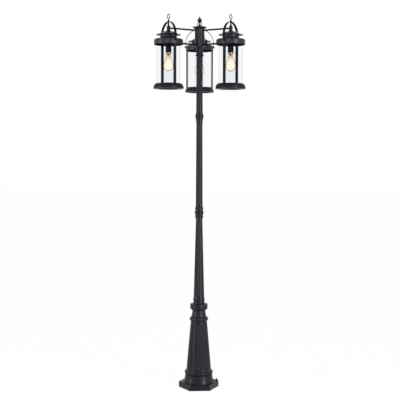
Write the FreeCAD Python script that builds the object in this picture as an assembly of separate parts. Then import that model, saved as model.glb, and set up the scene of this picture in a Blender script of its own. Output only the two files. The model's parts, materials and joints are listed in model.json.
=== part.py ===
import FreeCAD, Part
import math
import os
from FreeCAD import Rotation, Vector

# Triple head lamp post, in millimetres. +Z is up. The origin is the centre of the base plate's underside.
# The post stands on the Z axis. Each lantern is drawn once in an arm frame: the post's axis at the origin,
# the arm along +X and the lantern's axis at x = arm_reach. It is then turned about Z to its own bearing.

# Clearances
thread_clearance = 0.05
slip_clearance = 0.1
wrap_clearance = 0.3

# Ends of curves closer than this are one point where a flute is cut
flute_tolerance = 0.001

# Height of an arc over its chord, as a share of the chord, from nearly straight to full
faint_bow = 0.03
slight_bow = 0.06
soft_bow = 0.1
round_bow = 0.18

# Base plate and its anchors
plate_across_corners = 266.0
plate_height = 38.0
plate_edge_chamfer = 2.5
plate_turn = 4.0
cable_way_radius = 22.0
anchor_corner_margin = 13.0
anchor_count = 3
anchor_hole_radius = 4.5
anchor_thread_radius = 4.0
washer_hole_radius = 4.2
washer_radius = 8.0
washer_thickness = 1.6
nut_across_flats = 13.0
nut_height = 6.8
nut_chamfer = 0.9

# Base shroud: a cone foot, a groove and a ring bead
shroud_height = 83.0
shroud_washer_gap = 12.0
shroud_foot_slope = 9.5
shroud_neck_rise = 51.0
shroud_groove_depth = 5.0
shroud_groove_height = 7.0
shroud_bead_stand = 4.0
shroud_bead_lip = 2.0
shroud_bead_height = 8.0
shroud_wall = 8.0

# Base cone: a tapered casting with stopped flutes
cone_height = 317.0
cone_setback = 8.8
cone_top_radius = 54.5
cone_wall = 9.0
cone_flute_count = 18
cone_flute_cutter_radius = 13.0
cone_flute_depth = 4.0
cone_flute_foot_margin = 6.0
cone_flute_top_margin = 5.0

# Base collar: a ring bead, a hollow neck and a heavy collar
base_collar_height = 130.0
base_bead_radius = 61.5
base_bead_rise = 20.5
base_bead_half_height = 12.5
base_bead_face = 7.0
base_neck_flare = 6.0
base_neck_foot_radius = 49.0
base_neck_foot_rise = 40.0
base_neck_radius = 43.5
base_neck_rise = 80.0
base_band_under_radius = 49.5
base_band_under_rise = 82.0
base_band_radius = 57.7
base_band_low_rise = 96.0
base_band_high_rise = 118.0
base_band_top_radius = 54.5
base_band_top_rise = 121.5
base_band_deck_rise = 122.5
base_spigot_radius = 27.0
base_spigot_depth = 45.0
base_bore_step = 8.0

# Pole sections, each a tapered tube with stopped flutes
pole_flute_count = 12
lower_flute_cutter_radius = 10.5
lower_flute_depth = 2.3
upper_flute_cutter_radius = 6.6
upper_flute_depth = 1.4
pole_flute_foot_margin = 12.0
pole_flute_top_margin = 10.0
pole_wall = 4.5
spigot_wall = 3.5
spigot_depth = 45.0
spigot_radius = 15.0

pole_foot_height = 35.0
pole_foot_radius = 36.8
pole_bead_radius = 39.7
pole_bead_rise = 19.0
pole_bead_half_height = 7.0
lower_pole_height = 557.0
lower_pole_foot_radius = 35.6
lower_pole_top_radius = 21.8

lower_joint_height = 86.0
lower_joint_end_radius = 23.8
lower_joint_end_height = 6.0
lower_joint_foot_bead_radius = 26.7
lower_joint_foot_bead_rise = 13.0
lower_joint_neck_radius = 25.5
lower_joint_low_neck_rise = 24.5
lower_joint_main_bead_radius = 29.9
lower_joint_main_bead_rise = 42.0
lower_joint_main_bead_half_face = 4.0
lower_joint_high_neck_rise = 62.0
lower_joint_top_bead_radius = 27.5
lower_joint_top_bead_rise = 69.0

middle_pole_height = 544.0
middle_pole_foot_radius = 23.1
middle_pole_top_radius = 20.4

upper_joint_height = 85.0
upper_joint_end_radius = 22.0
upper_joint_foot_height = 14.0
upper_joint_small_bead_radius = 24.5
upper_joint_small_bead_rise = 27.5
upper_joint_groove_radius = 23.9
upper_joint_groove_rise = 35.0
upper_joint_main_bead_radius = 27.3
upper_joint_main_bead_rise = 49.5
upper_joint_main_bead_half_face = 3.0
upper_joint_bead_half_height = 12.0
upper_joint_top_radius = 22.8

upper_pole_height = 352.0
upper_pole_foot_radius = 21.6
upper_pole_top_radius = 20.9

# Fitter collar: a sleeve over the plain top end of the upper pole
fitter_height = 61.0
fitter_ring_radius = 27.8
fitter_ring_height = 10.0
fitter_ring_edge = 1.5
fitter_ring_slope = 4.0
fitter_radius = 22.5
fitter_engagement = 48.0
pole_tenon_radius = 20.3

# Hub, its cap and its finial
hub_height = 114.0
hub_radius = 32.0
hub_wall = 3.0
hub_floor = 4.0
hub_wire_hole_radius = 9.0
hub_edge = 1.0
hub_cap_height = 14.5
hub_cap_radius = 46.3
hub_cap_overhang = 0.5
hub_cap_rim_rise = 10.0
hub_cap_rim_height = 3.5
hub_cap_top_radius = 41.0
hub_cap_spigot_height = 6.0
set_screw_rise = 59.0
set_screw_radius = 3.0
set_screw_head_radius = 3.6
set_screw_stand = 4.0
set_screw_edge = 0.6
set_screw_socket_radius = 1.5
finial_foot_radius = 13.5
finial_rim_height = 2.0
finial_neck_radius = 3.9
finial_neck_rise = 25.5
finial_radius = 16.0
finial_radius_rise = 46.0
finial_height = 68.0
finial_tip_radius = 1.6
finial_stud_radius = 4.0
finial_stud_length = 15.0
terminal_length = 24.0
terminal_depth = 11.0
terminal_height = 16.0
terminal_offset = 16.5
terminal_way_radius = 1.8
terminal_ways = 3

# Arms
arm_reach = 230.0
upper_arm_radius = 5.5
upper_arm_bore_radius = 3.0
upper_arm_drop = 8.5
lower_arm_radius = 4.5
lower_arm_rise = 13.5

# Lantern, from the cap ring's lower edge
cap_ring_radius = 93.0
cap_ring_wall = 2.0
cap_ring_side_height = 28.0
cap_ring_shoulder_width = 9.0
cap_ring_shoulder_height = 7.2
cap_ring_deck_radius = 62.0
cap_ring_deck_rise = 39.0
cap_neck_radius = 53.0
cap_neck_foot_rise = 47.0
cap_neck_height = 61.0

roof_brim_radius = 78.5
roof_brim_thickness = 3.0
roof_dome_radius = 48.0
roof_dome_rise = 15.0
roof_shoulder_radius = 28.0
roof_shoulder_rise = 21.5
spire_foot_radius = 11.0
spire_foot_rise = 34.0
spire_boss_radius = 12.5
spire_boss_rise = 45.0
spire_waist_radius = 10.0
spire_waist_rise = 56.0
spire_stem_radius = 5.0
spire_stem_rise = 70.0

strap_width = 16.0
strap_thickness = 3.0
strap_spring_rise = 51.0
knob_rise = 24.0
knob_head_radius = 5.5
knob_head_height = 6.5
knob_rim_height = 1.8
knob_screw_radius = 2.0
knob_screw_length = 13.0

eye_wire_radius = 2.3
eye_radius = 15.5
eye_shank_radius = 7.5
eye_shank_height = 15.0
eye_shank_rim = 3.0
eye_stud_radius = 2.0
eye_stud_length = 11.0

leg_width = 14.0
leg_thickness = 9.0
leg_head_gap = 2.5
leg_pocket_depth = 12.0

base_ring_drop = 281.5
base_ring_height = 34.5
base_ring_rim_radius = 98.0
base_ring_edge = 5.0
base_ring_rim_height = 9.5
base_ring_step = 2.5
base_ring_lip_radius = 80.5
base_ring_ledge_height = 24.5
base_ring_opening_radius = 70.0

glass_radius = 76.5
glass_wall = 3.0
glass_overlap = 24.0

socket_radius = 18.5
socket_drop = 56.0
socket_height = 52.0
socket_bore_depth = 30.0
socket_lip_radius = 19.3
socket_lip_height = 5.0
socket_edge = 1.0
socket_shoulder_height = 6.0
socket_shoulder_radius = 9.0
socket_stem_radius = 5.0
socket_stem_bore_radius = 3.0

bulb_cap_radius = 13.2
bulb_cap_wall = 0.5
bulb_cap_skirt = 3.6
bulb_cap_length = 24.0
bulb_cap_cone_height = 4.0
bulb_cap_contact_radius = 5.0
bulb_cap_contact_length = 3.0
bulb_cap_contact_crown = 1.0
bulb_neck_length = 10.0
bulb_neck_radius = 15.5
bulb_neck_drop = 6.0
bulb_radius = 32.0
bulb_radius_drop = 78.0
bulb_belly_height = 10.0
bulb_foot_bow = 0.14
bulb_length = 110.0
bulb_tip_radius = 12.0
bulb_tip_height = 6.0
bulb_wall = 0.9
bulb_stem_radius = 5.0
bulb_stem_tip_radius = 2.0
bulb_stem_length = 36.0
filament_wire_radius = 0.5
filament_strand_count = 6
filament_top_radius = 7.0
filament_top_inset = 4.0
filament_foot_radius = 13.0
filament_foot_inset = 2.0
filament_length = 52.0

# Bearings of the lanterns round the post, in degrees from +X
lantern_bearings = {"left": 210.0, "right": 330.0, "back": 90.0}

# Radii of the foot, from the plate's corners inwards: the anchors on alternate corners, the shroud, the cone
anchor_circle_radius = plate_across_corners / 2 - anchor_corner_margin
shroud_foot_radius = anchor_circle_radius - washer_radius - shroud_washer_gap
shroud_neck_radius = shroud_foot_radius - shroud_foot_slope
shroud_bead_radius = shroud_neck_radius + shroud_bead_stand
cone_foot_radius = shroud_neck_radius - cone_setback

# Heights of the seats, from the ground up
shroud_z = plate_height
cone_z = shroud_z + shroud_height
base_collar_z = cone_z + cone_height
lower_pole_z = base_collar_z + base_collar_height
lower_joint_z = lower_pole_z + lower_pole_height
middle_pole_z = lower_joint_z + lower_joint_height
upper_joint_z = middle_pole_z + middle_pole_height
upper_pole_z = upper_joint_z + upper_joint_height
fitter_z = upper_pole_z + upper_pole_height
hub_z = fitter_z + fitter_height
hub_cap_z = hub_z + hub_height
finial_z = hub_cap_z + hub_cap_height

# Heights that the lanterns share
cap_ring_z = hub_z
upper_arm_z = hub_cap_z - upper_arm_drop
lower_arm_z = cap_ring_z + lower_arm_rise
roof_z = cap_ring_z + cap_neck_height
strap_spring_z = cap_ring_z + strap_spring_rise
knob_z = cap_ring_z + knob_rise
base_ring_z = cap_ring_z - base_ring_drop
glass_foot_z = base_ring_z + base_ring_ledge_height
socket_z = cap_ring_z - socket_drop
bulb_cap_z = socket_z - bulb_cap_skirt

# Radii that the lantern's pieces share, from the lantern's axis
cap_ring_inner_radius = cap_ring_radius - cap_ring_wall
strap_inner_radius = cap_ring_radius + wrap_clearance
strap_outer_radius = strap_inner_radius + strap_thickness
leg_outer_radius = math.sqrt((cap_ring_inner_radius - slip_clearance) ** 2 - leg_width ** 2 / 4)
strap_crown_z = strap_spring_z + strap_inner_radius


def outline(points):
    """Closed face in the XZ plane. A point is (r, z), or (r, z, bow) where an arc leads to it.

    The bow is the arc's height over its chord, as a share of the chord, positive to the right of the run."""
    edges = []
    closed = points + [points[0][:2]]
    for start, end in zip(closed, closed[1:]):
        a = Vector(start[0], 0, start[1])
        b = Vector(end[0], 0, end[1])
        if len(end) == 3:
            run = b - a
            middle = (a + b) * 0.5 + Vector(run.z, 0, -run.x) * end[2]
            edges.append(Part.Arc(a, middle, b).toShape())
        else:
            edges.append(Part.LineSegment(a, b).toShape())
    return Part.Face(Part.Wire(edges))


def turned(points, z=0.0):
    """Solid turned about the Z axis from its outline, standing at height z."""
    solid = outline(points).revolve(Vector(0, 0, 0), Vector(0, 0, 1), 360)
    solid.translate(Vector(0, 0, z))
    return solid


def dome(radius, height):
    """Bow of the arc that closes a solid at its axis with a ball shaped cap."""
    ball = (radius ** 2 + height ** 2) / (2 * height)
    chord = math.hypot(radius, height)
    return (ball - math.sqrt(ball ** 2 - chord ** 2 / 4)) / chord


def rod(radius, start, end):
    """Round rod from one point to another."""
    run = end - start
    return Part.makeCylinder(radius, run.Length, start, run)


def ring_of(shape, count, first_angle=0.0):
    """Copies of a shape, evenly turned about the Z axis."""
    copies = []
    for index in range(count):
        copy = shape.copy()
        copy.rotate(Vector(0, 0, 0), Vector(0, 0, 1), first_angle + 360.0 * index / count)
        copies.append(copy)
    return copies


def hexagon_prism(circumradius, height, z=0.0):
    """Upright hexagonal prism with two corners on the X axis."""
    corners = [
        Vector(circumradius * math.cos(math.radians(60 * k)), circumradius * math.sin(math.radians(60 * k)), z)
        for k in range(7)
    ]
    return Part.Face(Part.makePolygon(corners)).extrude(Vector(0, 0, height))


def flute_cutter(foot_radius, top_radius, foot_z, top_z, cutter_foot, cutter_top, depth_foot, depth_top):
    """Tapered rod with round ends that cuts one flute along a cone's side, at the front of the post."""
    foot = Vector(0, -(foot_radius + cutter_foot - depth_foot), foot_z)
    top = Vector(0, -(top_radius + cutter_top - depth_top), top_z)
    run = top - foot
    lean = math.asin((cutter_foot - cutter_top) / run.Length)
    side = math.cos(lean)
    rise = math.sin(lean)
    mid_low = math.radians(45) - lean / 2
    mid_high = math.radians(45) + lean / 2
    edges = [
        Part.Arc(
            Vector(0, 0, -cutter_foot),
            Vector(cutter_foot * math.cos(mid_low), 0, -cutter_foot * math.sin(mid_low)),
            Vector(cutter_foot * side, 0, cutter_foot * rise),
        ).toShape(),
        Part.LineSegment(
            Vector(cutter_foot * side, 0, cutter_foot * rise),
            Vector(cutter_top * side, 0, run.Length + cutter_top * rise),
        ).toShape(),
        Part.Arc(
            Vector(cutter_top * side, 0, run.Length + cutter_top * rise),
            Vector(cutter_top * math.cos(mid_high), 0, run.Length + cutter_top * math.sin(mid_high)),
            Vector(0, 0, run.Length + cutter_top),
        ).toShape(),
        Part.LineSegment(Vector(0, 0, run.Length + cutter_top), Vector(0, 0, -cutter_foot)).toShape(),
    ]
    cutter = Part.Face(Part.Wire(edges)).revolve(Vector(0, 0, 0), Vector(0, 0, 1), 360)
    turn = Rotation(Vector(0, 0, 1), run)
    cutter.Placement = FreeCAD.Placement(foot, turn)
    return cutter


def fluted(body, count, foot_radius, top_radius, foot_z, top_z, cutter_foot, depth_foot, seat_z):
    """A tapered body with a ring of flutes, which narrow and grow shallow with its radius.

    The body is turned first, so that its seam lies between two flutes, and is cut while it stands at height 0.
    It is then lifted to its seat, so that its shape is the same whatever is below it."""
    share = top_radius / foot_radius
    cutter = flute_cutter(
        foot_radius, top_radius, foot_z, top_z, cutter_foot, cutter_foot * share, depth_foot, depth_foot * share
    )
    body.rotate(Vector(0, 0, 0), Vector(0, 0, 1), 180.0 / count - 90)
    body = body.cut(ring_of(cutter, count), flute_tolerance)
    body.translate(Vector(0, 0, seat_z))
    return body


def along(low, high, share):
    """Value part of the way from low to high."""
    return low + (high - low) * share


# ---------------------------------------------------------------- post


def base_plate():
    """Hexagonal foot casting with the cable way and the anchor holes."""
    plate = hexagon_prism(plate_across_corners / 2, plate_height)
    plate.rotate(Vector(0, 0, 0), Vector(0, 0, 1), plate_turn)
    top_edges = [
        edge for edge in plate.Edges
        if all(abs(vertex.Z - plate_height) < 1e-6 for vertex in edge.Vertexes)
    ]
    plate = plate.makeChamfer(plate_edge_chamfer, top_edges)
    holes = [rod(cable_way_radius, Vector(0, 0, -1), Vector(0, 0, plate_height + 1))]
    anchor = rod(
        anchor_hole_radius, Vector(anchor_circle_radius, 0, -1), Vector(anchor_circle_radius, 0, plate_height + 1)
    )
    holes += ring_of(anchor, anchor_count, plate_turn)
    return plate.cut(holes)


def anchor_washers():
    """Flat washers on the base plate, one at each anchor."""
    washer = turned(
        [
            (washer_hole_radius, 0),
            (washer_radius, 0),
            (washer_radius, washer_thickness),
            (washer_hole_radius, washer_thickness),
        ],
        plate_height,
    )
    washer.translate(Vector(anchor_circle_radius, 0, 0))
    return Part.makeCompound(ring_of(washer, anchor_count, plate_turn))


def anchor_nuts():
    """Hexagon nuts on the washers, with chamfered corners."""
    circumradius = nut_across_flats / math.sqrt(3)
    nut_z = plate_height + washer_thickness
    nut = hexagon_prism(circumradius, nut_height, nut_z)
    rounding = turned(
        [
            (0, 0),
            (circumradius - nut_chamfer, 0),
            (circumradius, nut_chamfer / 2),
            (circumradius, nut_height - nut_chamfer / 2),
            (circumradius - nut_chamfer, nut_height),
            (0, nut_height),
        ],
        nut_z,
    )
    nut = nut.common(rounding)
    nut = nut.cut(rod(anchor_thread_radius, Vector(0, 0, nut_z - 1), Vector(0, 0, nut_z + nut_height + 1)))
    nut.translate(Vector(anchor_circle_radius, 0, 0))
    return Part.makeCompound(ring_of(nut, anchor_count, plate_turn))


def base_shroud():
    """Hollow conical moulding with a groove and a ring bead that slopes in to the cone."""
    groove_radius = shroud_neck_radius - shroud_groove_depth
    bead_rise = shroud_neck_rise + shroud_groove_height
    return turned(
        [
            (shroud_foot_radius - shroud_wall, 0),
            (shroud_foot_radius, 0),
            (shroud_neck_radius, shroud_neck_rise, -faint_bow),
            (groove_radius, shroud_neck_rise + shroud_bead_lip),
            (groove_radius, bead_rise),
            (shroud_bead_radius, bead_rise + shroud_bead_lip),
            (shroud_bead_radius, bead_rise + shroud_bead_height, soft_bow),
            (cone_foot_radius, shroud_height),
            (cone_foot_radius - shroud_wall, shroud_height),
        ],
        shroud_z,
    )


def base_cone():
    """Tapered hollow casting with stopped flutes."""
    cone = turned(
        [
            (cone_foot_radius - cone_wall, 0),
            (cone_foot_radius, 0),
            (cone_top_radius, cone_height),
            (cone_top_radius - cone_wall, cone_height),
        ]
    )
    foot_rise = cone_flute_foot_margin + cone_flute_cutter_radius
    top_rise = cone_height - cone_flute_top_margin - cone_flute_cutter_radius * cone_top_radius / cone_foot_radius
    return fluted(
        cone,
        cone_flute_count,
        along(cone_foot_radius, cone_top_radius, foot_rise / cone_height),
        along(cone_foot_radius, cone_top_radius, top_rise / cone_height),
        foot_rise,
        top_rise,
        cone_flute_cutter_radius,
        cone_flute_depth,
        cone_z,
    )


def base_collar():
    """Ring bead, hollow neck and heavy collar that crowns the cone, bored for the spigot."""
    seat = base_collar_height - base_spigot_depth
    return turned(
        [
            (cone_top_radius - cone_wall, 0),
            (cone_top_radius, 0),
            (cone_top_radius, base_bead_rise - base_bead_half_height),
            (base_bead_radius, base_bead_rise - base_bead_face / 2, round_bow),
            (base_bead_radius, base_bead_rise + base_bead_face / 2, soft_bow),
            (base_neck_foot_radius + base_neck_flare, base_bead_rise + base_bead_half_height, soft_bow),
            (base_neck_foot_radius, base_neck_foot_rise, -soft_bow),
            (base_neck_radius, base_neck_rise, -faint_bow),
            (base_band_under_radius, base_band_under_rise),
            (base_band_radius, base_band_low_rise, round_bow),
            (base_band_radius, base_band_high_rise, faint_bow),
            (base_band_top_radius, base_band_top_rise, round_bow),
            (pole_foot_radius, base_band_deck_rise),
            (pole_foot_radius, base_collar_height),
            (base_spigot_radius + thread_clearance, base_collar_height),
            (base_spigot_radius + thread_clearance, seat),
            (base_spigot_radius - spigot_wall, seat),
            (base_spigot_radius - spigot_wall, seat - base_bore_step),
            (base_neck_radius - cone_wall, base_neck_foot_rise),
        ],
        base_collar_z,
    )


def spigot(radius, seat_z, length):
    """Threaded nipple, a plain tube, standing at its seat."""
    return turned(
        [
            (radius - spigot_wall, 0),
            (radius, 0),
            (radius, length),
            (radius - spigot_wall, length),
        ],
        seat_z,
    )


def base_spigot():
    """Nipple that joins the base collar to the lower pole."""
    return spigot(base_spigot_radius, lower_pole_z - base_spigot_depth, 2 * base_spigot_depth)


def joint_spigots():
    """The nipples inside the two joint collars."""
    return Part.makeCompound([
        spigot(spigot_radius, lower_joint_z - spigot_depth, lower_joint_height + 2 * spigot_depth),
        spigot(spigot_radius, upper_joint_z - spigot_depth, upper_joint_height + 2 * spigot_depth),
    ])


def socketed_bore(height, foot_seat, foot_depth, foot_radius, top_radius, top_seat, top_depth):
    """Inner side of a pole tube, from the top down: a seat for a nipple, the tapered bore, a seat."""
    return [
        (top_seat + thread_clearance, height),
        (top_seat + thread_clearance, height - top_depth),
        (top_radius - pole_wall, height - top_depth - 2 * pole_wall),
        (foot_radius - pole_wall, foot_depth + 2 * pole_wall),
        (foot_seat + thread_clearance, foot_depth),
        (foot_seat + thread_clearance, 0),
    ]


def pole_flutes(body, foot_radius, top_radius, foot_z, top_z, cutter, depth, seat_z):
    """A pole section with flutes between its plain ends, lifted to its seat."""
    top_cutter = cutter * top_radius / foot_radius
    length = top_z - foot_z
    low = pole_flute_foot_margin + cutter
    high = length - pole_flute_top_margin - top_cutter
    return fluted(
        body,
        pole_flute_count,
        along(foot_radius, top_radius, low / length),
        along(foot_radius, top_radius, high / length),
        foot_z + low,
        foot_z + high,
        cutter,
        depth,
        seat_z,
    )


def lower_pole():
    """Strongly tapered fluted tube with a bead at its foot."""
    bead_bow = (pole_bead_radius - pole_foot_radius) / (2 * pole_bead_half_height)
    tube = turned(
        [
            (pole_foot_radius, 0),
            (pole_foot_radius, pole_bead_rise - pole_bead_half_height),
            (pole_foot_radius, pole_bead_rise + pole_bead_half_height, bead_bow),
            (lower_pole_foot_radius, pole_foot_height, -slight_bow),
            (lower_pole_top_radius, lower_pole_height),
        ]
        + socketed_bore(
            lower_pole_height, base_spigot_radius, base_spigot_depth,
            lower_pole_foot_radius, lower_pole_top_radius, spigot_radius, spigot_depth,
        )
    )
    return pole_flutes(
        tube, lower_pole_foot_radius, lower_pole_top_radius, pole_foot_height, lower_pole_height,
        lower_flute_cutter_radius, lower_flute_depth, lower_pole_z,
    )


def straight_pole(z, height, foot_radius, top_radius):
    """Slightly tapered fluted tube between two joint collars."""
    tube = turned(
        [(foot_radius, 0), (top_radius, height)]
        + socketed_bore(height, spigot_radius, spigot_depth, foot_radius, top_radius, spigot_radius, spigot_depth)
    )
    return pole_flutes(
        tube, foot_radius, top_radius, 0, height, upper_flute_cutter_radius, upper_flute_depth, z
    )


def middle_pole():
    """Fluted tube between the joint collars."""
    return straight_pole(middle_pole_z, middle_pole_height, middle_pole_foot_radius, middle_pole_top_radius)


def upper_pole():
    """Fluted tube with a plain tenon that stands in the fitter collar."""
    height = upper_pole_height + fitter_engagement
    bore_radius = upper_pole_top_radius - pole_wall
    tube = turned(
        [
            (upper_pole_foot_radius, 0),
            (upper_pole_top_radius, upper_pole_height),
            (pole_tenon_radius, upper_pole_height),
            (pole_tenon_radius, height),
            (bore_radius, height),
            (bore_radius, spigot_depth + 2 * pole_wall),
            (spigot_radius + thread_clearance, spigot_depth),
            (spigot_radius + thread_clearance, 0),
        ]
    )
    return pole_flutes(
        tube, upper_pole_foot_radius, upper_pole_top_radius, 0, upper_pole_height,
        upper_flute_cutter_radius, upper_flute_depth, upper_pole_z,
    )


def lower_joint_collar():
    """Collar with three beads, bored for its nipple."""
    bore = spigot_radius + thread_clearance
    return turned(
        [
            (bore, 0),
            (lower_joint_end_radius, 0),
            (lower_joint_end_radius, lower_joint_end_height),
            (lower_joint_foot_bead_radius, lower_joint_foot_bead_rise, soft_bow),
            (lower_joint_neck_radius, lower_joint_low_neck_rise, soft_bow),
            (lower_joint_main_bead_radius, lower_joint_main_bead_rise - lower_joint_main_bead_half_face, -soft_bow),
            (lower_joint_main_bead_radius, lower_joint_main_bead_rise + lower_joint_main_bead_half_face, soft_bow),
            (lower_joint_neck_radius, lower_joint_high_neck_rise, -soft_bow),
            (lower_joint_top_bead_radius, lower_joint_top_bead_rise, soft_bow),
            (lower_joint_end_radius, lower_joint_height - lower_joint_end_height, slight_bow),
            (lower_joint_end_radius, lower_joint_height),
            (bore, lower_joint_height),
        ],
        lower_joint_z,
    )


def upper_joint_collar():
    """Collar with a small and a large bead, bored for its nipple."""
    bore = spigot_radius + thread_clearance
    return turned(
        [
            (bore, 0),
            (upper_joint_end_radius, 0),
            (upper_joint_end_radius, upper_joint_foot_height),
            (upper_joint_small_bead_radius, upper_joint_small_bead_rise, -slight_bow),
            (upper_joint_groove_radius, upper_joint_groove_rise, soft_bow),
            (upper_joint_main_bead_radius, upper_joint_main_bead_rise - upper_joint_main_bead_half_face, soft_bow),
            (upper_joint_main_bead_radius, upper_joint_main_bead_rise + upper_joint_main_bead_half_face, soft_bow),
            (upper_joint_top_radius, upper_joint_main_bead_rise + upper_joint_bead_half_height, soft_bow),
            (upper_joint_end_radius, upper_joint_height),
            (bore, upper_joint_height),
        ],
        upper_joint_z,
    )


def fitter_collar():
    """Sleeve with a ring at its foot, which slips over the pole's tenon and carries the hub."""
    bore = pole_tenon_radius + slip_clearance
    return turned(
        [
            (bore, 0),
            (fitter_ring_radius - fitter_ring_edge, 0),
            (fitter_ring_radius, fitter_ring_edge, round_bow),
            (fitter_ring_radius, fitter_ring_height - fitter_ring_slope),
            (fitter_radius, fitter_ring_height, round_bow),
            (fitter_radius, fitter_height),
            (hub_wire_hole_radius, fitter_height),
            (hub_wire_hole_radius, fitter_engagement + slip_clearance),
            (bore, fitter_engagement + slip_clearance),
        ],
        fitter_z,
    )


# ---------------------------------------------------------------- hub


def hub_body():
    """Cylinder with a floor, with a hole in its wall for each arm and for the set screw."""
    body = turned(
        [
            (hub_wire_hole_radius, 0),
            (hub_radius - hub_edge, 0),
            (hub_radius, hub_edge),
            (hub_radius, hub_height),
            (hub_radius - hub_wall, hub_height),
            (hub_radius - hub_wall, hub_floor),
            (hub_wire_hole_radius, hub_floor),
        ],
        hub_z,
    )
    holes = []
    for bearing in lantern_bearings.values():
        outward = Vector(math.cos(math.radians(bearing)), math.sin(math.radians(bearing)), 0)
        for radius, z in ((upper_arm_radius, upper_arm_z), (lower_arm_radius, lower_arm_z)):
            foot = Vector(0, 0, z)
            holes.append(rod(radius + thread_clearance, foot, foot + outward * (hub_radius + 1)))
    screw_foot = Vector(0, 0, hub_z + set_screw_rise)
    holes.append(rod(set_screw_radius + thread_clearance, screw_foot, screw_foot + Vector(hub_radius + 1, 0, 0)))
    return body.cut(holes)


def hub_set_screw():
    """Socket screw in the hub's right side."""
    head = turned(
        [
            (0, -hub_wall),
            (set_screw_radius, -hub_wall),
            (set_screw_radius, wrap_clearance),
            (set_screw_head_radius, wrap_clearance),
            (set_screw_head_radius, set_screw_stand - set_screw_edge),
            (set_screw_head_radius - set_screw_edge, set_screw_stand, round_bow),
            (set_screw_socket_radius, set_screw_stand),
            (set_screw_socket_radius, set_screw_stand / 2),
            (0, set_screw_stand / 2),
        ]
    )
    head.rotate(Vector(0, 0, 0), Vector(0, 1, 0), 90)
    head.translate(Vector(hub_radius, 0, hub_z + set_screw_rise))
    return head


def hub_cap():
    """Flared moulding that closes the hub, with a spigot that centres it and a hole for the finial."""
    spigot_outer = hub_radius - hub_wall - slip_clearance
    rim_top = hub_cap_rim_rise + hub_cap_rim_height
    return turned(
        [
            (finial_stud_radius + thread_clearance, -hub_cap_spigot_height / 2),
            (spigot_outer - hub_wall, -hub_cap_spigot_height / 2),
            (spigot_outer - hub_wall, -hub_cap_spigot_height),
            (spigot_outer, -hub_cap_spigot_height),
            (spigot_outer, 0),
            (hub_radius + hub_cap_overhang, 0),
            (hub_cap_radius, hub_cap_rim_rise, -soft_bow),
            (hub_cap_radius, rim_top),
            (hub_cap_top_radius, hub_cap_height, soft_bow),
            (finial_stud_radius + thread_clearance, hub_cap_height),
        ],
        hub_cap_z,
    )


def finial():
    """Turned spade finial with the stud that holds it in the cap."""
    return turned(
        [
            (0, -finial_stud_length),
            (finial_stud_radius, -finial_stud_length),
            (finial_stud_radius, 0),
            (finial_foot_radius, 0),
            (finial_foot_radius, finial_rim_height),
            (finial_neck_radius, finial_neck_rise, -slight_bow),
            (finial_radius, finial_radius_rise, soft_bow),
            (finial_tip_radius, finial_height - finial_tip_radius, -slight_bow),
            (0, finial_height, dome(finial_tip_radius, finial_tip_radius)),
        ],
        finial_z,
    )


def terminal_block():
    """Three way terminal block on the hub's floor."""
    foot = hub_z + hub_floor
    block = Part.makeBox(
        terminal_length, terminal_depth, terminal_height,
        Vector(-terminal_length / 2, -terminal_offset - terminal_depth / 2, foot),
    )
    pitch = terminal_length / terminal_ways
    ways = []
    for way in range(terminal_ways):
        x = (way + 0.5) * pitch - terminal_length / 2
        wire_way = Vector(x, -terminal_offset - terminal_depth, foot + terminal_height * 0.4)
        ways.append(rod(terminal_way_radius, wire_way, wire_way + Vector(0, 2 * terminal_depth, 0)))
        screw_way = Vector(x, -terminal_offset, foot + terminal_height * 0.5)
        ways.append(rod(terminal_way_radius, screw_way, screw_way + Vector(0, 0, terminal_height)))
    return block.cut(ways)


# ---------------------------------------------------------------- lantern, drawn in the arm frame


def at_lantern(shape):
    """A shape drawn about the Z axis, moved out to the lantern's axis."""
    shape.translate(Vector(arm_reach, 0, 0))
    return shape


def upper_arm_line():
    """Start and end of the upper arm, from the hub's wall to the middle of the spire."""
    start = Vector(hub_radius - hub_wall + wrap_clearance, 0, upper_arm_z)
    return start, Vector(arm_reach - spire_stem_radius, 0, upper_arm_z)


def upper_arm():
    """Tube from the hub to the spire, which carries the lantern and its wires."""
    start, end = upper_arm_line()
    return rod(upper_arm_radius, start, end).cut(rod(upper_arm_bore_radius, start, end))


def lower_arm_line():
    """Start and end of the lower arm, from the hub's wall through the cap ring's side."""
    start = Vector(hub_radius - hub_wall + wrap_clearance, 0, lower_arm_z)
    return start, Vector(arm_reach - cap_ring_inner_radius + 2 * cap_ring_wall, 0, lower_arm_z)


def lower_arm():
    """Brace rod from the hub to the cap ring."""
    return rod(lower_arm_radius, *lower_arm_line())


def cap_ring():
    """Spun shell: side wall, round shoulder, sloping deck and the neck that carries the roof."""
    wall = cap_ring_wall
    inner = cap_ring_inner_radius
    shoulder_radius = cap_ring_radius - cap_ring_shoulder_width
    shoulder_rise = cap_ring_side_height + cap_ring_shoulder_height
    shell = at_lantern(turned(
        [
            (inner, 0),
            (cap_ring_radius, 0),
            (cap_ring_radius, cap_ring_side_height),
            (shoulder_radius, shoulder_rise, round_bow),
            (cap_ring_deck_radius, cap_ring_deck_rise),
            (cap_neck_radius, cap_neck_foot_rise, -round_bow),
            (cap_neck_radius, cap_neck_height),
            (cap_neck_radius - wall, cap_neck_height),
            (cap_neck_radius - wall, cap_neck_foot_rise - wall),
            (cap_ring_deck_radius - wall, cap_ring_deck_rise - wall),
            (shoulder_radius - wall / 2, shoulder_rise - wall),
            (inner - wall / 2, cap_ring_side_height + wall / 2),
            (inner, cap_ring_side_height - wall),
        ],
        cap_ring_z,
    ))
    start, end = lower_arm_line()
    holes = [rod(lower_arm_radius + thread_clearance, start, end)]
    for side in (-1, 1):
        middle = Vector(arm_reach, 0, knob_z)
        holes.append(
            rod(knob_screw_radius + slip_clearance, middle, middle + Vector(0, side * strap_outer_radius, 0))
        )
    return shell.cut(holes)


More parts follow.
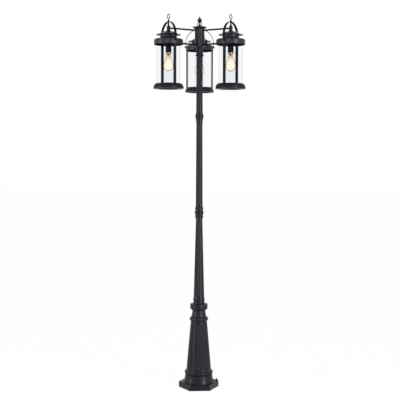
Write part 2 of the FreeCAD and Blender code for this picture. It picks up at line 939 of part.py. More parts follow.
def roof():
    """Spun roof with a thin brim and an ogee dome, and the spire that takes the arm and the eye's stud."""
    spire_top = strap_crown_z - wrap_clearance - roof_z
    under = roof_brim_thickness
    shape = at_lantern(turned(
        [
            (socket_stem_radius + thread_clearance, roof_shoulder_rise - under),
            (roof_shoulder_radius - under, roof_shoulder_rise - under),
            (roof_dome_radius - under, roof_dome_rise - under),
            (cap_neck_radius - cap_ring_wall, 0),
            (roof_brim_radius, 0),
            (roof_brim_radius, under, round_bow),
            (roof_dome_radius, roof_dome_rise, -slight_bow),
            (roof_shoulder_radius, roof_shoulder_rise, slight_bow),
            (spire_foot_radius, spire_foot_rise, -round_bow),
            (spire_boss_radius, spire_boss_rise, faint_bow),
            (spire_waist_radius, spire_waist_rise, slight_bow),
            (spire_stem_radius, spire_stem_rise, -slight_bow),
            (spire_stem_radius, spire_top),
            (eye_stud_radius + thread_clearance, spire_top),
            (eye_stud_radius + thread_clearance, spire_top - eye_stud_length),
            (0, spire_top - eye_stud_length),
            (0, spire_foot_rise),
            (socket_stem_radius + thread_clearance, spire_foot_rise),
        ],
        roof_z,
    ))
    start, end = upper_arm_line()
    wire_way = rod(
        socket_stem_bore_radius,
        Vector(arm_reach, 0, roof_z + spire_foot_rise - 1),
        Vector(arm_reach, 0, upper_arm_z),
    )
    wire_bend = rod(upper_arm_bore_radius, start, Vector(arm_reach, 0, upper_arm_z))
    return shape.cut([rod(upper_arm_radius + thread_clearance, start, end), wire_way, wire_bend])


def arch_strap():
    """Flat bar bent over the roof, with straight legs that end round at the knobs."""
    half = strap_width / 2
    foot_z = knob_z - half
    outer = rod(strap_outer_radius, Vector(-half, 0, strap_spring_z), Vector(half, 0, strap_spring_z))
    inner = rod(strap_inner_radius, Vector(-half, 0, strap_spring_z), Vector(half, 0, strap_spring_z))
    drop = strap_spring_z - foot_z
    outer = outer.fuse(Part.makeBox(
        strap_width, 2 * strap_outer_radius, drop, Vector(-half, -strap_outer_radius, foot_z)
    ))
    inner = inner.fuse(Part.makeBox(
        strap_width, 2 * strap_inner_radius, drop, Vector(-half, -strap_inner_radius, foot_z)
    ))
    strap = outer.cut(inner)
    side_view = rod(half, Vector(0, -strap_outer_radius, knob_z), Vector(0, strap_outer_radius, knob_z))
    side_view = side_view.fuse(Part.makeBox(
        strap_width, 2 * strap_outer_radius, strap_spring_z + strap_outer_radius - knob_z,
        Vector(-half, -strap_outer_radius, knob_z),
    ))
    strap = strap.common(side_view)
    screw_way = rod(
        knob_screw_radius + slip_clearance,
        Vector(0, -strap_outer_radius, knob_z),
        Vector(0, strap_outer_radius, knob_z),
    )
    stud_way = rod(
        eye_stud_radius + thread_clearance,
        Vector(0, 0, strap_spring_z),
        Vector(0, 0, strap_spring_z + strap_outer_radius + 1),
    )
    return at_lantern(strap.cut([screw_way, stud_way]).removeSplitter())


def strap_knobs(side):
    """One knob screw, through the strap and the cap ring into the leg."""
    knob = turned([
        (0, -knob_screw_length),
        (knob_screw_radius, -knob_screw_length),
        (knob_screw_radius, 0),
        (knob_head_radius, 0),
        (knob_head_radius, knob_rim_height),
        (0, knob_head_height, dome(knob_head_radius, knob_head_height - knob_rim_height)),
    ])
    knob.rotate(Vector(0, 0, 0), Vector(1, 0, 0), -90 * side)
    knob.translate(Vector(0, side * strap_outer_radius, knob_z))
    return at_lantern(knob)


def eye_loop():
    """Wire eye on a short shank, with a stud through the strap into the spire."""
    crown = strap_spring_z + strap_outer_radius
    centre = Vector(0, 0, crown + eye_shank_height + eye_radius)
    loop = Part.makeTorus(eye_radius, eye_wire_radius, centre, Vector(1, 0, 0))
    shank = turned(
        [
            (0, -eye_stud_length),
            (eye_stud_radius, -eye_stud_length),
            (eye_stud_radius, 0),
            (eye_shank_radius, 0),
            (eye_shank_radius, eye_shank_rim),
            (eye_wire_radius, eye_shank_height, -soft_bow),
            (0, eye_shank_height),
        ],
        crown,
    )
    return at_lantern(loop.fuse(shank))


def leg_bar(side, spare):
    """One cage leg as a bar, grown by the spare on each of its sides."""
    foot = base_ring_z + base_ring_height - leg_pocket_depth
    head = cap_ring_z + cap_ring_side_height - leg_head_gap
    bar = Part.makeBox(
        leg_width + 2 * spare,
        leg_thickness + 2 * spare,
        head - foot,
        Vector(-leg_width / 2 - spare, leg_outer_radius - leg_thickness - spare, foot),
    )
    if side < 0:
        bar.rotate(Vector(0, 0, 0), Vector(0, 0, 1), 180)
    return bar


def cage_legs():
    """The two bars that hang the base ring from the cap ring, tapped for the knob screws."""
    legs = []
    for side in (-1, 1):
        tapped = rod(
            knob_screw_radius + thread_clearance,
            Vector(0, side * strap_outer_radius, knob_z),
            Vector(0, side * (strap_outer_radius - knob_screw_length - wrap_clearance), knob_z),
        )
        legs.append(at_lantern(leg_bar(side, 0).cut(tapped)))
    return Part.makeCompound(legs)


def base_ring():
    """Cast ring with a rounded rim, a step and a quarter round flare, open in the middle, with the glass ledge."""
    ring = turned(
        [
            (base_ring_opening_radius, 0),
            (base_ring_rim_radius - base_ring_edge, 0),
            (base_ring_rim_radius, base_ring_edge, round_bow),
            (base_ring_rim_radius, base_ring_rim_height),
            (base_ring_rim_radius - base_ring_step, base_ring_rim_height),
            (base_ring_lip_radius, base_ring_height, round_bow),
            (glass_radius + wrap_clearance, base_ring_height),
            (glass_radius + wrap_clearance, base_ring_ledge_height),
            (base_ring_opening_radius, base_ring_ledge_height),
        ],
        base_ring_z,
    )
    return at_lantern(ring.cut([leg_bar(-1, slip_clearance), leg_bar(1, slip_clearance)]))


def glass():
    """Clear open cylinder that stands on the base ring's ledge."""
    height = cap_ring_z + glass_overlap - glass_foot_z
    return at_lantern(turned(
        [
            (glass_radius - glass_wall, 0),
            (glass_radius, 0),
            (glass_radius, height),
            (glass_radius - glass_wall, height),
        ],
        glass_foot_z,
    ))


def socket():
    """Lamp holder with a lip, its bore for the bulb's cap, and the hollow stem that hangs it in the spire."""
    stem_top = roof_z + spire_foot_rise - socket_z
    bore = bulb_cap_radius + thread_clearance
    return at_lantern(turned(
        [
            (bore, 0),
            (socket_lip_radius - socket_edge, 0),
            (socket_lip_radius, socket_edge, round_bow),
            (socket_lip_radius, socket_lip_height),
            (socket_radius, socket_lip_height),
            (socket_radius, socket_height - socket_shoulder_height),
            (socket_shoulder_radius, socket_height, round_bow),
            (socket_stem_radius, socket_height),
            (socket_stem_radius, stem_top),
            (socket_stem_bore_radius, stem_top),
            (socket_stem_bore_radius, socket_bore_depth),
            (bore, socket_bore_depth),
        ],
        socket_z,
    ))


def bulb_cap():
    """Thin threaded cap of the bulb, with its centre contact."""
    shoulder = bulb_cap_length - bulb_cap_cone_height
    crown = bulb_cap_contact_crown
    inner = bulb_cap_radius - bulb_cap_wall
    return at_lantern(turned(
        [
            (inner, 0),
            (bulb_cap_radius, 0),
            (bulb_cap_radius, shoulder),
            (bulb_cap_contact_radius, bulb_cap_length),
            (bulb_cap_contact_radius, bulb_cap_length + bulb_cap_contact_length - crown),
            (0, bulb_cap_length + bulb_cap_contact_length, dome(bulb_cap_contact_radius, crown)),
            (0, bulb_cap_length - bulb_cap_wall),
            (bulb_cap_contact_radius - bulb_cap_wall, bulb_cap_length - bulb_cap_wall),
            (inner, shoulder - bulb_cap_wall),
        ],
        bulb_cap_z,
    ))


def bulb_glass():
    """Pear shaped envelope, with the glass stem that closes its neck."""
    plug = bulb_cap_radius - bulb_cap_wall - thread_clearance
    wall = bulb_wall
    widest = -bulb_radius_drop
    tip_z = bulb_tip_height - bulb_length
    stem_foot = -bulb_stem_length
    return at_lantern(turned(
        [
            (0, bulb_neck_length),
            (0, stem_foot),
            (bulb_stem_tip_radius, stem_foot),
            (bulb_stem_radius, bulb_neck_length - 2 * wall, -faint_bow),
            (plug - wall, bulb_neck_length - 2 * wall),
            (plug - wall, 0),
            (bulb_neck_radius - wall, -bulb_neck_drop),
            (bulb_radius - wall, widest + bulb_belly_height, faint_bow),
            (bulb_radius - wall, widest, -faint_bow),
            (bulb_tip_radius - wall, tip_z, -bulb_foot_bow),
            (0, wall - bulb_length, -dome(bulb_tip_radius - wall, tip_z + bulb_length - wall)),
            (0, -bulb_length),
            (bulb_tip_radius, tip_z, dome(bulb_tip_radius, tip_z + bulb_length)),
            (bulb_radius, widest, bulb_foot_bow),
            (bulb_radius, widest + bulb_belly_height, faint_bow),
            (bulb_neck_radius, -bulb_neck_drop, -faint_bow),
            (plug, -wrap_clearance),
            (plug, bulb_neck_length),
        ],
        bulb_cap_z,
    ))


def filament():
    """Cage filament: a centre wire and a ring of strands between two stars of hooks."""
    top = -bulb_stem_length
    foot = top - filament_length
    wire = filament_wire_radius
    pieces = [rod(2 * wire, Vector(0, 0, foot), Vector(0, 0, top))]
    high = Vector(filament_top_radius, 0, top - filament_top_inset)
    low = Vector(filament_foot_radius, 0, foot + filament_foot_inset)
    strand = rod(wire, low, high)
    hooks = [rod(wire, Vector(0, 0, high.z), high), rod(wire, Vector(0, 0, low.z), low)]
    strand = strand.multiFuse(hooks + [Part.makeSphere(wire, high), Part.makeSphere(wire, low)])
    cage = pieces[0].multiFuse(ring_of(strand, filament_strand_count))
    cage.translate(Vector(0, 0, bulb_cap_z))
    return at_lantern(cage)


POST_PIECES = {
    "base_plate": base_plate,
    "anchor_washers": anchor_washers,
    "anchor_nuts": anchor_nuts,
    "base_shroud": base_shroud,
    "base_cone": base_cone,
    "base_collar": base_collar,
    "base_spigot": base_spigot,
    "lower_pole": lower_pole,
    "lower_joint_collar": lower_joint_collar,
    "middle_pole": middle_pole,
    "upper_joint_collar": upper_joint_collar,
    "joint_spigots": joint_spigots,
    "upper_pole": upper_pole,
    "fitter_collar": fitter_collar,
    "hub_body": hub_body,
    "hub_set_screw": hub_set_screw,
    "hub_cap": hub_cap,
    "finial": finial,
    "terminal_block": terminal_block,
}

LANTERN_PIECES = {
    "upper_arm": upper_arm,
    "lower_arm": lower_arm,
    "cap_ring": cap_ring,
    "roof": roof,
    "arch_strap": arch_strap,
    "eye_loop": eye_loop,
    "cage_legs": cage_legs,
    "base_ring": base_ring,
    "glass": glass,
    "socket": socket,
    "bulb_cap": bulb_cap,
    "bulb_glass": bulb_glass,
    "filament": filament,
}


def at_bearing(shape, bearing):
    """A copy of a shape turned from the arm frame to its bearing."""
    copy = shape.copy()
    copy.rotate(Vector(0, 0, 0), Vector(0, 0, 1), bearing)
    return copy


def save(name, shape):
    shape.exportStep(os.path.join("parts", name + ".step"))


os.makedirs("parts", exist_ok=True)
for name, make in POST_PIECES.items():
    save(name, make())
for name, make in LANTERN_PIECES.items():
    piece = make()
    for side, bearing in lantern_bearings.items():
        save(name + "_" + side, at_bearing(piece, bearing))
knobs = [at_bearing(strap_knobs(side), bearing) for bearing in lantern_bearings.values() for side in (-1, 1)]
save("strap_knobs", Part.makeCompound(knobs))
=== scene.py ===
import json
import math

import bmesh
import bpy
from bpy.props import FloatProperty, FloatVectorProperty, IntProperty, PointerProperty
from mathutils import Matrix, Vector


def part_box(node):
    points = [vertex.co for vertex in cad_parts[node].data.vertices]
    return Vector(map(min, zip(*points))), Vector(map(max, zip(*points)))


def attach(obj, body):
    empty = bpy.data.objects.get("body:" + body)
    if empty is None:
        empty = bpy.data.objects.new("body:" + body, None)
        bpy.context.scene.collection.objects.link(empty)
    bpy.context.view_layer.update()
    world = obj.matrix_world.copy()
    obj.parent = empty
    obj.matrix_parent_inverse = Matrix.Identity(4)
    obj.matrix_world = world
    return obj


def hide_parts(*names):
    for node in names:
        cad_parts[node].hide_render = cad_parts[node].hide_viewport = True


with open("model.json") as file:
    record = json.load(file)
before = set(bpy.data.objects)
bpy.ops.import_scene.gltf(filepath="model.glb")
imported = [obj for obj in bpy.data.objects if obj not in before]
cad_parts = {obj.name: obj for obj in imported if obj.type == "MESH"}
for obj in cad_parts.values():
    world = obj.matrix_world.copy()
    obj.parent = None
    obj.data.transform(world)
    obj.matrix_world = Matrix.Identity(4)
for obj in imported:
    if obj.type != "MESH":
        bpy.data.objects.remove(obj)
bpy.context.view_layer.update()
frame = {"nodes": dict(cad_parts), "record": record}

bl_info = {
    "name": "Triple head lamp post",
    "version": (1, 0, 0),
    "blender": (4, 5, 0),
    "location": "3D View > Sidebar > Lamp post",
    "description": "Finishes and small parts of a cast garden lamp post with three glass lanterns",
    "category": "Object",
}

MM = 0.001
SIDES = ("left", "right", "back")

CASTINGS = ("base_plate", "base_shroud", "base_cone", "base_collar", "lower_pole", "lower_joint_collar",
            "middle_pole", "upper_joint_collar", "upper_pole", "fitter_collar", "hub_cap", "finial")
LANTERN_STEELWORK = ("upper_arm", "lower_arm", "arch_strap", "eye_loop", "cage_legs")

# Short names of the shared materials
FINISHES = {
    "casting": "sand_cast_aluminium_powder_coat",
    "dull casting": "sand_cast_aluminium_dull_coat",
    "steel": "drawn_steel_powder_coat",
    "spun": "spun_steel_powder_coat",
    "fastener": "rolled_steel_black_zinc",
    "zinc": "turned_steel_clear_zinc",
    "phenolic": "moulded_phenolic",
    "nylon": "moulded_nylon",
    "brass": "spun_brass",
}

# Each softbox's bearing from the camera's side in degrees, its (width, height) and the height of its middle
SOFTBOX_DISTANCE = 3.0
SOFTBOXES = {
    "left": (-66, (0.7, 3.0), 1.45),
    "right": (42, (0.7, 3.0), 1.45),
    "top": (-14, (1.6, 0.4), 2.85),
}
FLOOR_HALF = 30.0
FLOOR_WHITE = 0.985  # share of plain white in the floor that is seen; the rest takes the post's shadow
SENSOR_MM = 36.0


# Colours and node helpers

def srgb(code):
    """Linear RGBA of an sRGB hex colour."""
    channels = [int(code[i:i + 2], 16) / 255 for i in (1, 3, 5)]
    linear = [c / 12.92 if c <= 0.04045 else ((c + 0.055) / 1.055) ** 2.4 for c in channels]
    return (*linear, 1.0)


def grey(share):
    """Linear RGBA of an even grey."""
    return (share, share, share, 1.0)


def opaque(colour):
    """RGBA of a colour setting."""
    return (*colour, 1.0)


def add(tree, kind, values=None, links=None, **settings):
    """A new node in the tree, with its settings, its sockets' values and the sources of its links."""
    node = tree.nodes.new(kind)
    for name, value in settings.items():
        setattr(node, name, value)
    for socket, value in (values or {}).items():
        node.inputs[socket].default_value = value
    for socket, source in (links or {}).items():
        tree.links.new(source, node.inputs[socket])
    return node


def blank_material(name):
    """An empty node material and its tree."""
    material = bpy.data.materials.new(name)
    material.use_nodes = True
    material.node_tree.nodes.clear()
    return material, material.node_tree


def give(tree, shader):
    """Lead the shader to the material's surface."""
    add(tree, "ShaderNodeOutputMaterial", links={"Surface": shader})


def place_of(tree):
    """Place on the piece, in metres."""
    return add(tree, "ShaderNodeTexCoord").outputs["Object"]


def stretched(tree, place, scale):
    """Place with its axes scaled, for a pattern drawn out along the smallest."""
    return add(tree, "ShaderNodeMapping", {"Scale": scale}, {"Vector": place}).outputs["Vector"]


def noise(tree, place, scale, **values):
    """Cloudy value between 0 and 1, with so many clouds to the metre."""
    names = {name.capitalize(): value for name, value in values.items()}
    return add(tree, "ShaderNodeTexNoise", {"Scale": scale, **names}, {"Vector": place}).outputs["Fac"]


def ramp(tree, value, *stops):
    """Colour that runs through (position, colour) stops with the value."""
    node = add(tree, "ShaderNodeValToRGB", links={"Fac": value})
    elements = node.color_ramp.elements
    elements[0].position, elements[0].color = stops[0]
    elements[1].position, elements[1].color = stops[-1]
    for position, colour in stops[1:-1]:
        elements.new(position).color = colour
    return node.outputs["Color"]


def mixed(tree, share, first, second):
    """Shader between two others."""
    return add(tree, "ShaderNodeMixShader", links={0: share, 1: first, 2: second}).outputs["Shader"]


def multiplied(tree, first, second):
    """Product of two colours."""
    return add(tree, "ShaderNodeMix", {"Factor": 1.0}, {"A": first, "B": second},
               data_type="RGBA", blend_type="MULTIPLY").outputs["Result"]


def background_rays(tree):
    """1 for the rays that see the white background: from the camera, from gloss and through glass."""
    rays = add(tree, "ShaderNodeLightPath").outputs
    return maths(tree, "MAXIMUM", rays["Is Camera Ray"],
                 maths(tree, "MAXIMUM", rays["Is Glossy Ray"], rays["Is Transmission Ray"]))


# Materials

def coated_metal(name, low, high, grain_mm, mottle_mm, bump_mm, roughness, specular):
    """Powder coat over metal: two close blacks in soft clouds, and a bump of coarse clouds and fine grain."""
    material, tree = blank_material(name)
    place = place_of(tree)
    clouds = noise(tree, place, 1000 / mottle_mm, detail=3.0, roughness=0.6)
    grain = noise(tree, place, 1000 / grain_mm, detail=2.0, roughness=0.55)
    tone = ramp(tree, clouds, (0.36, opaque(low)), (0.66, opaque(high)))
    sway = 0.025  # how far the roughness moves with the clouds
    sheen = add(tree, "ShaderNodeMapRange", {"From Min": 0.3, "From Max": 0.7, "To Min": roughness + sway,
                                             "To Max": roughness - sway}, {"Value": clouds})
    waves = add(tree, "ShaderNodeBump", {"Strength": 1.0, "Distance": bump_mm * MM}, {"Height": clouds})
    pits = add(tree, "ShaderNodeBump", {"Strength": 1.0, "Distance": bump_mm * 0.25 * MM},
               {"Height": grain, "Normal": waves.outputs["Normal"]})
    coat = add(tree, "ShaderNodeBsdfPrincipled",
               {"Metallic": 0.0, "IOR": 1.5, "Specular IOR Level": specular},
               {"Base Color": tone, "Roughness": sheen.outputs["Result"], "Normal": pits.outputs["Normal"]})
    give(tree, coat.outputs["BSDF"])
    return material


def cast_aluminium(colours):
    """Sand cast aluminium under black powder coat: satin, with the mould's grain in soft uneven patches."""
    # The grain of a real coat is about 1 mm; here and in the next three it is coarser, so that it shows.
    return coated_metal("sand_cast_aluminium_powder_coat", colours.casting_dark, colours.casting_light,
                        grain_mm=2.5, mottle_mm=12.0, bump_mm=0.001, roughness=0.36, specular=0.21)


def ring_castings(colours):
    """The same castings with a duller coat, as the lanterns' foot rings have below and inside."""
    return coated_metal("sand_cast_aluminium_dull_coat", colours.casting_dark, colours.casting_light,
                        grain_mm=2.5, mottle_mm=12.0, bump_mm=0.001, roughness=0.38, specular=0.13)


def drawn_steel(colours):
    """Drawn and bent steel under a dull black powder coat, with a faint orange peel."""
    return coated_metal("drawn_steel_powder_coat", colours.steel_dark, colours.steel_light,
                        grain_mm=1.6, mottle_mm=9.0, bump_mm=0.002, roughness=0.45, specular=0.06)


def spun_steel(colours):
    """Rolled and spun steel of the hub and the lanterns' rings: a smoother and glossier coat."""
    return coated_metal("spun_steel_powder_coat", colours.steel_dark, colours.steel_light,
                        grain_mm=1.4, mottle_mm=14.0, bump_mm=0.001, roughness=0.36, specular=0.28)


def blackened_fasteners(colours):
    """Black zinc on rolled steel: a dull metal grey that catches a line of light on each edge."""
    material, tree = blank_material("rolled_steel_black_zinc")
    film = noise(tree, place_of(tree), 350.0, detail=3.0)
    tone = ramp(tree, film, (0.0, srgb("#17181b")), (1.0, opaque(colours.fastener)))
    metal = add(tree, "ShaderNodeBsdfPrincipled", {"Metallic": 0.7, "Roughness": 0.38}, {"Base Color": tone})
    give(tree, metal.outputs["BSDF"])
    return material


def zinc_steel():
    """Turned steel under clear zinc: pale grey metal with fine rings left by the tool."""
    material, tree = blank_material("turned_steel_clear_zinc")
    rings = add(tree, "ShaderNodeTexWave", {"Scale": 120.0, "Distortion": 0.4, "Detail": 1.0},
                {"Vector": place_of(tree)}, bands_direction="Z")
    bump = add(tree, "ShaderNodeBump", {"Strength": 0.4, "Distance": 0.05 * MM},
               {"Height": rings.outputs["Fac"]})
    metal = add(tree, "ShaderNodeBsdfPrincipled",
                {"Base Color": srgb("#8f9296"), "Metallic": 1.0, "Roughness": 0.32},
                {"Normal": bump.outputs["Normal"]})
    give(tree, metal.outputs["BSDF"])
    return material


def moulded_phenolic():
    """Moulded phenolic of the lamp holders: near black and dull, with faint flow clouds."""
    material, tree = blank_material("moulded_phenolic")
    flow = noise(tree, place_of(tree), 90.0, detail=4.0, distortion=0.6)
    tone = ramp(tree, flow, (0.0, srgb("#0c0c0e")), (1.0, srgb("#151518")))
    shell = add(tree, "ShaderNodeBsdfPrincipled", {"Roughness": 0.6, "Specular IOR Level": 0.08},
                {"Base Color": tone})
    give(tree, shell.outputs["BSDF"])
    return material


def moulded_nylon():
    """Moulded nylon of the terminal block: milky white and matt."""
    material, tree = blank_material("moulded_nylon")
    haze = noise(tree, place_of(tree), 160.0, detail=2.0)
    tone = ramp(tree, haze, (0.0, srgb("#d9d5ca")), (1.0, srgb("#e9e6dc")))
    body = add(tree, "ShaderNodeBsdfPrincipled", {"Roughness": 0.55, "Subsurface Weight": 0.15, "IOR": 1.53},
               {"Base Color": tone})
    give(tree, body.outputs["BSDF"])
    return material


def spun_brass(colours):
    """Spun brass of the caps and the holders' lips: warm orange metal with fine turning lines."""
    material, tree = blank_material("spun_brass")
    lines = noise(tree, stretched(tree, place_of(tree), (60.0, 60.0, 1400.0)), 1.0, detail=2.0)
    tone = ramp(tree, lines, (0.0, srgb("#b08660")), (1.0, opaque(colours.brass)))
    metal = add(tree, "ShaderNodeBsdfPrincipled", {"Metallic": 1.0, "Roughness": 0.35}, {"Base Color": tone})
    give(tree, metal.outputs["BSDF"])
    return material


def glossy_skin(tree, facing, under):
    """Shader under a thin glass skin, which mirrors next to nothing, and a little where seen edge on."""
    share = maths(tree, "ADD", maths(tree, "MULTIPLY", maths(tree, "POWER", facing, 8.0), 0.04), 0.0003)
    gloss = add(tree, "ShaderNodeBsdfGlossy", {"Color": srgb("#ffffff"), "Roughness": 0.22})
    return mixed(tree, share, under, gloss.outputs["BSDF"])


def drawn_glass(colours):
    """Drawn soda lime tube of the lanterns: clear, faint grey in the wall, with a soft band of gloss.

    Light passes to the pieces inside without a dark shadow, as it does through a thin wall."""
    material, tree = blank_material("drawn_soda_lime_glass")
    # The drawing lines of a real tube are under 1 mm apart; here they are 25 mm apart, so that they show.
    draw = noise(tree, stretched(tree, place_of(tree), (40.0, 40.0, 1.0)), 1.0, detail=1.0)
    facing = add(tree, "ShaderNodeLayerWeight", {"Blend": 0.5}).outputs["Facing"]
    wall = ramp(tree, facing, (0.06, opaque(colours.glass)), (0.14, srgb("#fdfdfe")), (0.72, srgb("#fefefe")),
                (0.86, srgb("#eff0f1")), (1.0, srgb("#b4b6b9")))
    streak = add(tree, "ShaderNodeMapRange",
                 {"From Min": 0.3, "From Max": 0.7, "To Min": 0.99, "To Max": 1.0}, {"Value": draw})
    clear = add(tree, "ShaderNodeBsdfTransparent",
                links={"Color": multiplied(tree, wall, streak.outputs["Result"])})
    give(tree, glossy_skin(tree, facing, clear.outputs["BSDF"]))
    return material


def blown_glass(colours, foot_z, top_z):
    """Blown envelope of the bulb: filled with a warm white glow, clear and rosy at its neck."""
    material, tree = blank_material("blown_bulb_glass")
    height = add(tree, "ShaderNodeSeparateXYZ", links={"Vector": place_of(tree)}).outputs["Z"]
    rise = add(tree, "ShaderNodeMapRange", {"From Min": foot_z, "From Max": top_z},
               {"Value": height}).outputs["Result"]
    facing = add(tree, "ShaderNodeLayerWeight", {"Blend": 0.5}).outputs["Facing"]
    glow = ramp(tree, rise, (0.0, grey(0.3)), (0.14, grey(0.5)), (0.6, grey(0.54)), (0.78, grey(0.22)),
                (0.9, grey(0.0)))
    rim = maths(tree, "SUBTRACT", 1.0, maths(tree, "POWER", facing, 1.5))
    warmth = ramp(tree, rise, (0.35, opaque(colours.glow)), (0.85, srgb("#e6d5cd")))
    tint = ramp(tree, facing, (0.25, srgb("#f5eee9")), (1.0, srgb("#b3adaa")))
    core = ramp(tree, facing, (0.05, srgb("#fffaea")), (0.3, srgb("#ffffff")), (0.75, srgb("#f4eeea")))
    clear = add(tree, "ShaderNodeBsdfTransparent", links={"Color": tint})
    light = add(tree, "ShaderNodeEmission", {"Strength": 1.35}, {"Color": multiplied(tree, warmth, core)})
    haze = mixed(tree, maths(tree, "MULTIPLY", glow, rim), clear.outputs["BSDF"], light.outputs["Emission"])
    give(tree, glossy_skin(tree, facing, haze))
    return material


def lit_filament(colours):
    """Coiled tungsten of the lit bulb: an even amber glow."""
    material, tree = blank_material("coiled_tungsten_lit")
    light = add(tree, "ShaderNodeEmission", {"Color": opaque(colours.filament), "Strength": 2.2})
    give(tree, light.outputs["Emission"])
    return material


# Mesh helpers

def plain_object(name, mesh, material):
    """Object at the origin that shows the mesh in one material."""
    mesh.materials.clear()
    mesh.materials.append(material)
    thing = bpy.data.objects.new(name, mesh)
    bpy.context.scene.collection.objects.link(thing)
    return thing


def joined(name, meshes):
    """One mesh of several, each with the transform given beside it."""
    shape = bmesh.new()
    for mesh, move in meshes:
        part = mesh.copy()
        part.transform(move)
        shape.from_mesh(part)
        bpy.data.meshes.remove(part)
    whole = bpy.data.meshes.new(name)
    shape.to_mesh(whole)
    shape.free()
    return whole


def smooth_curve(points, steps):
    """Points of a smooth curve through the given (radius, height) points."""
    ends = [points[0]] + list(points) + [points[-1]]
    run = []
    for a, b, c, d in zip(ends, ends[1:], ends[2:], ends[3:]):
        for i in range(steps):
            t = i / steps
            run.append(tuple(0.5 * (2 * q + (r - p) * t + (2 * p - 5 * q + 4 * r - s) * t * t
                                    + (3 * q - p - 3 * r + s) * t ** 3)
                             for p, q, r, s in zip(a, b, c, d)))
    return run + [points[-1]]


def turned(name, profile, segments):
    """Mesh turned about Z from (radius, height) points in metres, closed at the axis or back to its start."""
    shape = bmesh.new()
    line = [shape.verts.new((r, 0, z)) for r, z in profile]
    edges = [shape.edges.new(pair) for pair in zip(line, line[1:])]
    if profile[0][0] > 0 or profile[-1][0] > 0:
        edges.append(shape.edges.new((line[-1], line[0])))
    bmesh.ops.spin(shape, geom=line + edges, axis=(0, 0, 1), cent=(0, 0, 0), steps=segments,
                   angle=math.tau, use_merge=True)
    bmesh.ops.remove_doubles(shape, verts=shape.verts, dist=1e-6)
    bmesh.ops.recalc_face_normals(shape, faces=shape.faces)
    mesh = bpy.data.meshes.new(name)
    shape.to_mesh(mesh)
    shape.free()
    for face in mesh.polygons:
        face.use_smooth = True
    return mesh


def middle(node):
    """Centre of a frame node's box, in metres."""
    low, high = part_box(node)
    return (low + high) / 2


def lantern_axis(side):
    """Point on a lantern's axis at the height of the ground."""
    centre = middle("bulb_cap_" + side)
    return Vector((centre.x, centre.y, 0))


def place_piece(name, mesh, material, body, move=None):
    """Put a finished mesh into the scene, on its body and with its material."""
    if move is not None:
        mesh.transform(move)
    thing = plain_object(name, mesh, material)
    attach(thing, body)
    return thing


# Geometry node helpers

def new_tree(name, sizes):
    """Geometry node tree with named inputs, and its input and output nodes."""
    tree = bpy.data.node_groups.new(name, "GeometryNodeTree")
    for label, kind in sizes:
        tree.interface.new_socket(label, in_out="INPUT", socket_type=kind)
    tree.interface.new_socket("Geometry", in_out="OUTPUT", socket_type="NodeSocketGeometry")
    return tree, tree.nodes.new("NodeGroupInput").outputs


def end_tree(tree, geometry, material):
    """Close the tree with real geometry in its material."""
    real = add(tree, "GeometryNodeRealizeInstances", links={"Geometry": geometry})
    coated = add(tree, "GeometryNodeSetMaterial", links={"Geometry": real.outputs[0], "Material": material})
    add(tree, "NodeGroupOutput", links={0: coated.outputs[0]})


def maths(tree, operation, first, second=None):
    """Result of a calculation with one or two numbers or sockets."""
    node = add(tree, "ShaderNodeMath", operation=operation)
    for socket, term in zip(node.inputs, (first, second)):
        if isinstance(term, bpy.types.NodeSocket):
            tree.links.new(term, socket)
        elif term is not None:
            socket.default_value = term
    return node.outputs[0]


def grow(name, tree, values):
    """Plain mesh that the tree makes with these values."""
    maker = bpy.data.objects.new(name, bpy.data.meshes.new(name))
    bpy.context.scene.collection.objects.link(maker)
    modifier = maker.modifiers.new(name, "NODES")
    modifier.node_group = tree
    for item in tree.interface.items_tree:
        if item.in_out == "INPUT":
            modifier[item.identifier] = values[item.name]
    mesh = bpy.data.meshes.new_from_object(maker.evaluated_get(bpy.context.evaluated_depsgraph_get()))
    maker.modifiers.remove(modifier)
    bpy.data.objects.remove(maker)
    return mesh


def thread_tree():
    """Rod with a rolled thread: its skin moves in and out along a helix, and its ends are chamfered."""
    tree, size = new_tree("threaded_rod", [
        ("Radius", "NodeSocketFloat"), ("Length", "NodeSocketFloat"), ("Pitch", "NodeSocketFloat"),
        ("Depth", "NodeSocketFloat"), ("Chamfer", "NodeSocketFloat"), ("Segments", "NodeSocketInt"),
        ("Rings", "NodeSocketInt"), ("Material", "NodeSocketMaterial")])
    rod = add(tree, "GeometryNodeMeshCylinder",
              links={"Vertices": size["Segments"], "Side Segments": size["Rings"],
                     "Radius": size["Radius"], "Depth": size["Length"]})
    place = add(tree, "ShaderNodeSeparateXYZ",
                links={"Vector": add(tree, "GeometryNodeInputPosition").outputs[0]})
    turn = maths(tree, "ARCTAN2", place.outputs["Y"], place.outputs["X"])
    climb = maths(tree, "MULTIPLY", maths(tree, "DIVIDE", place.outputs["Z"], size["Pitch"]), math.tau)
    wave = maths(tree, "COSINE", maths(tree, "SUBTRACT", climb, turn))
    dip = maths(tree, "MULTIPLY", maths(tree, "MULTIPLY", maths(tree, "SUBTRACT", wave, 1.0), 0.5),
                size["Depth"])
    reach = maths(tree, "SUBTRACT", maths(tree, "MULTIPLY", size["Length"], 0.5),
                  maths(tree, "ABSOLUTE", place.outputs["Z"]))
    bevel = maths(tree, "MINIMUM", maths(tree, "SUBTRACT", reach, size["Chamfer"]), 0.0)
    out = add(tree, "ShaderNodeCombineXYZ", links={"X": place.outputs["X"], "Y": place.outputs["Y"]})
    unit = add(tree, "ShaderNodeVectorMath", links={0: out.outputs[0]}, operation="NORMALIZE")
    shift = add(tree, "ShaderNodeVectorMath",
                links={0: unit.outputs[0], "Scale": maths(tree, "ADD", dip, bevel)}, operation="SCALE")
    moved = add(tree, "GeometryNodeSetPosition",
                links={"Geometry": rod.outputs["Mesh"], "Offset": shift.outputs[0]})
    end_tree(tree, moved.outputs[0], size["Material"])
    return tree


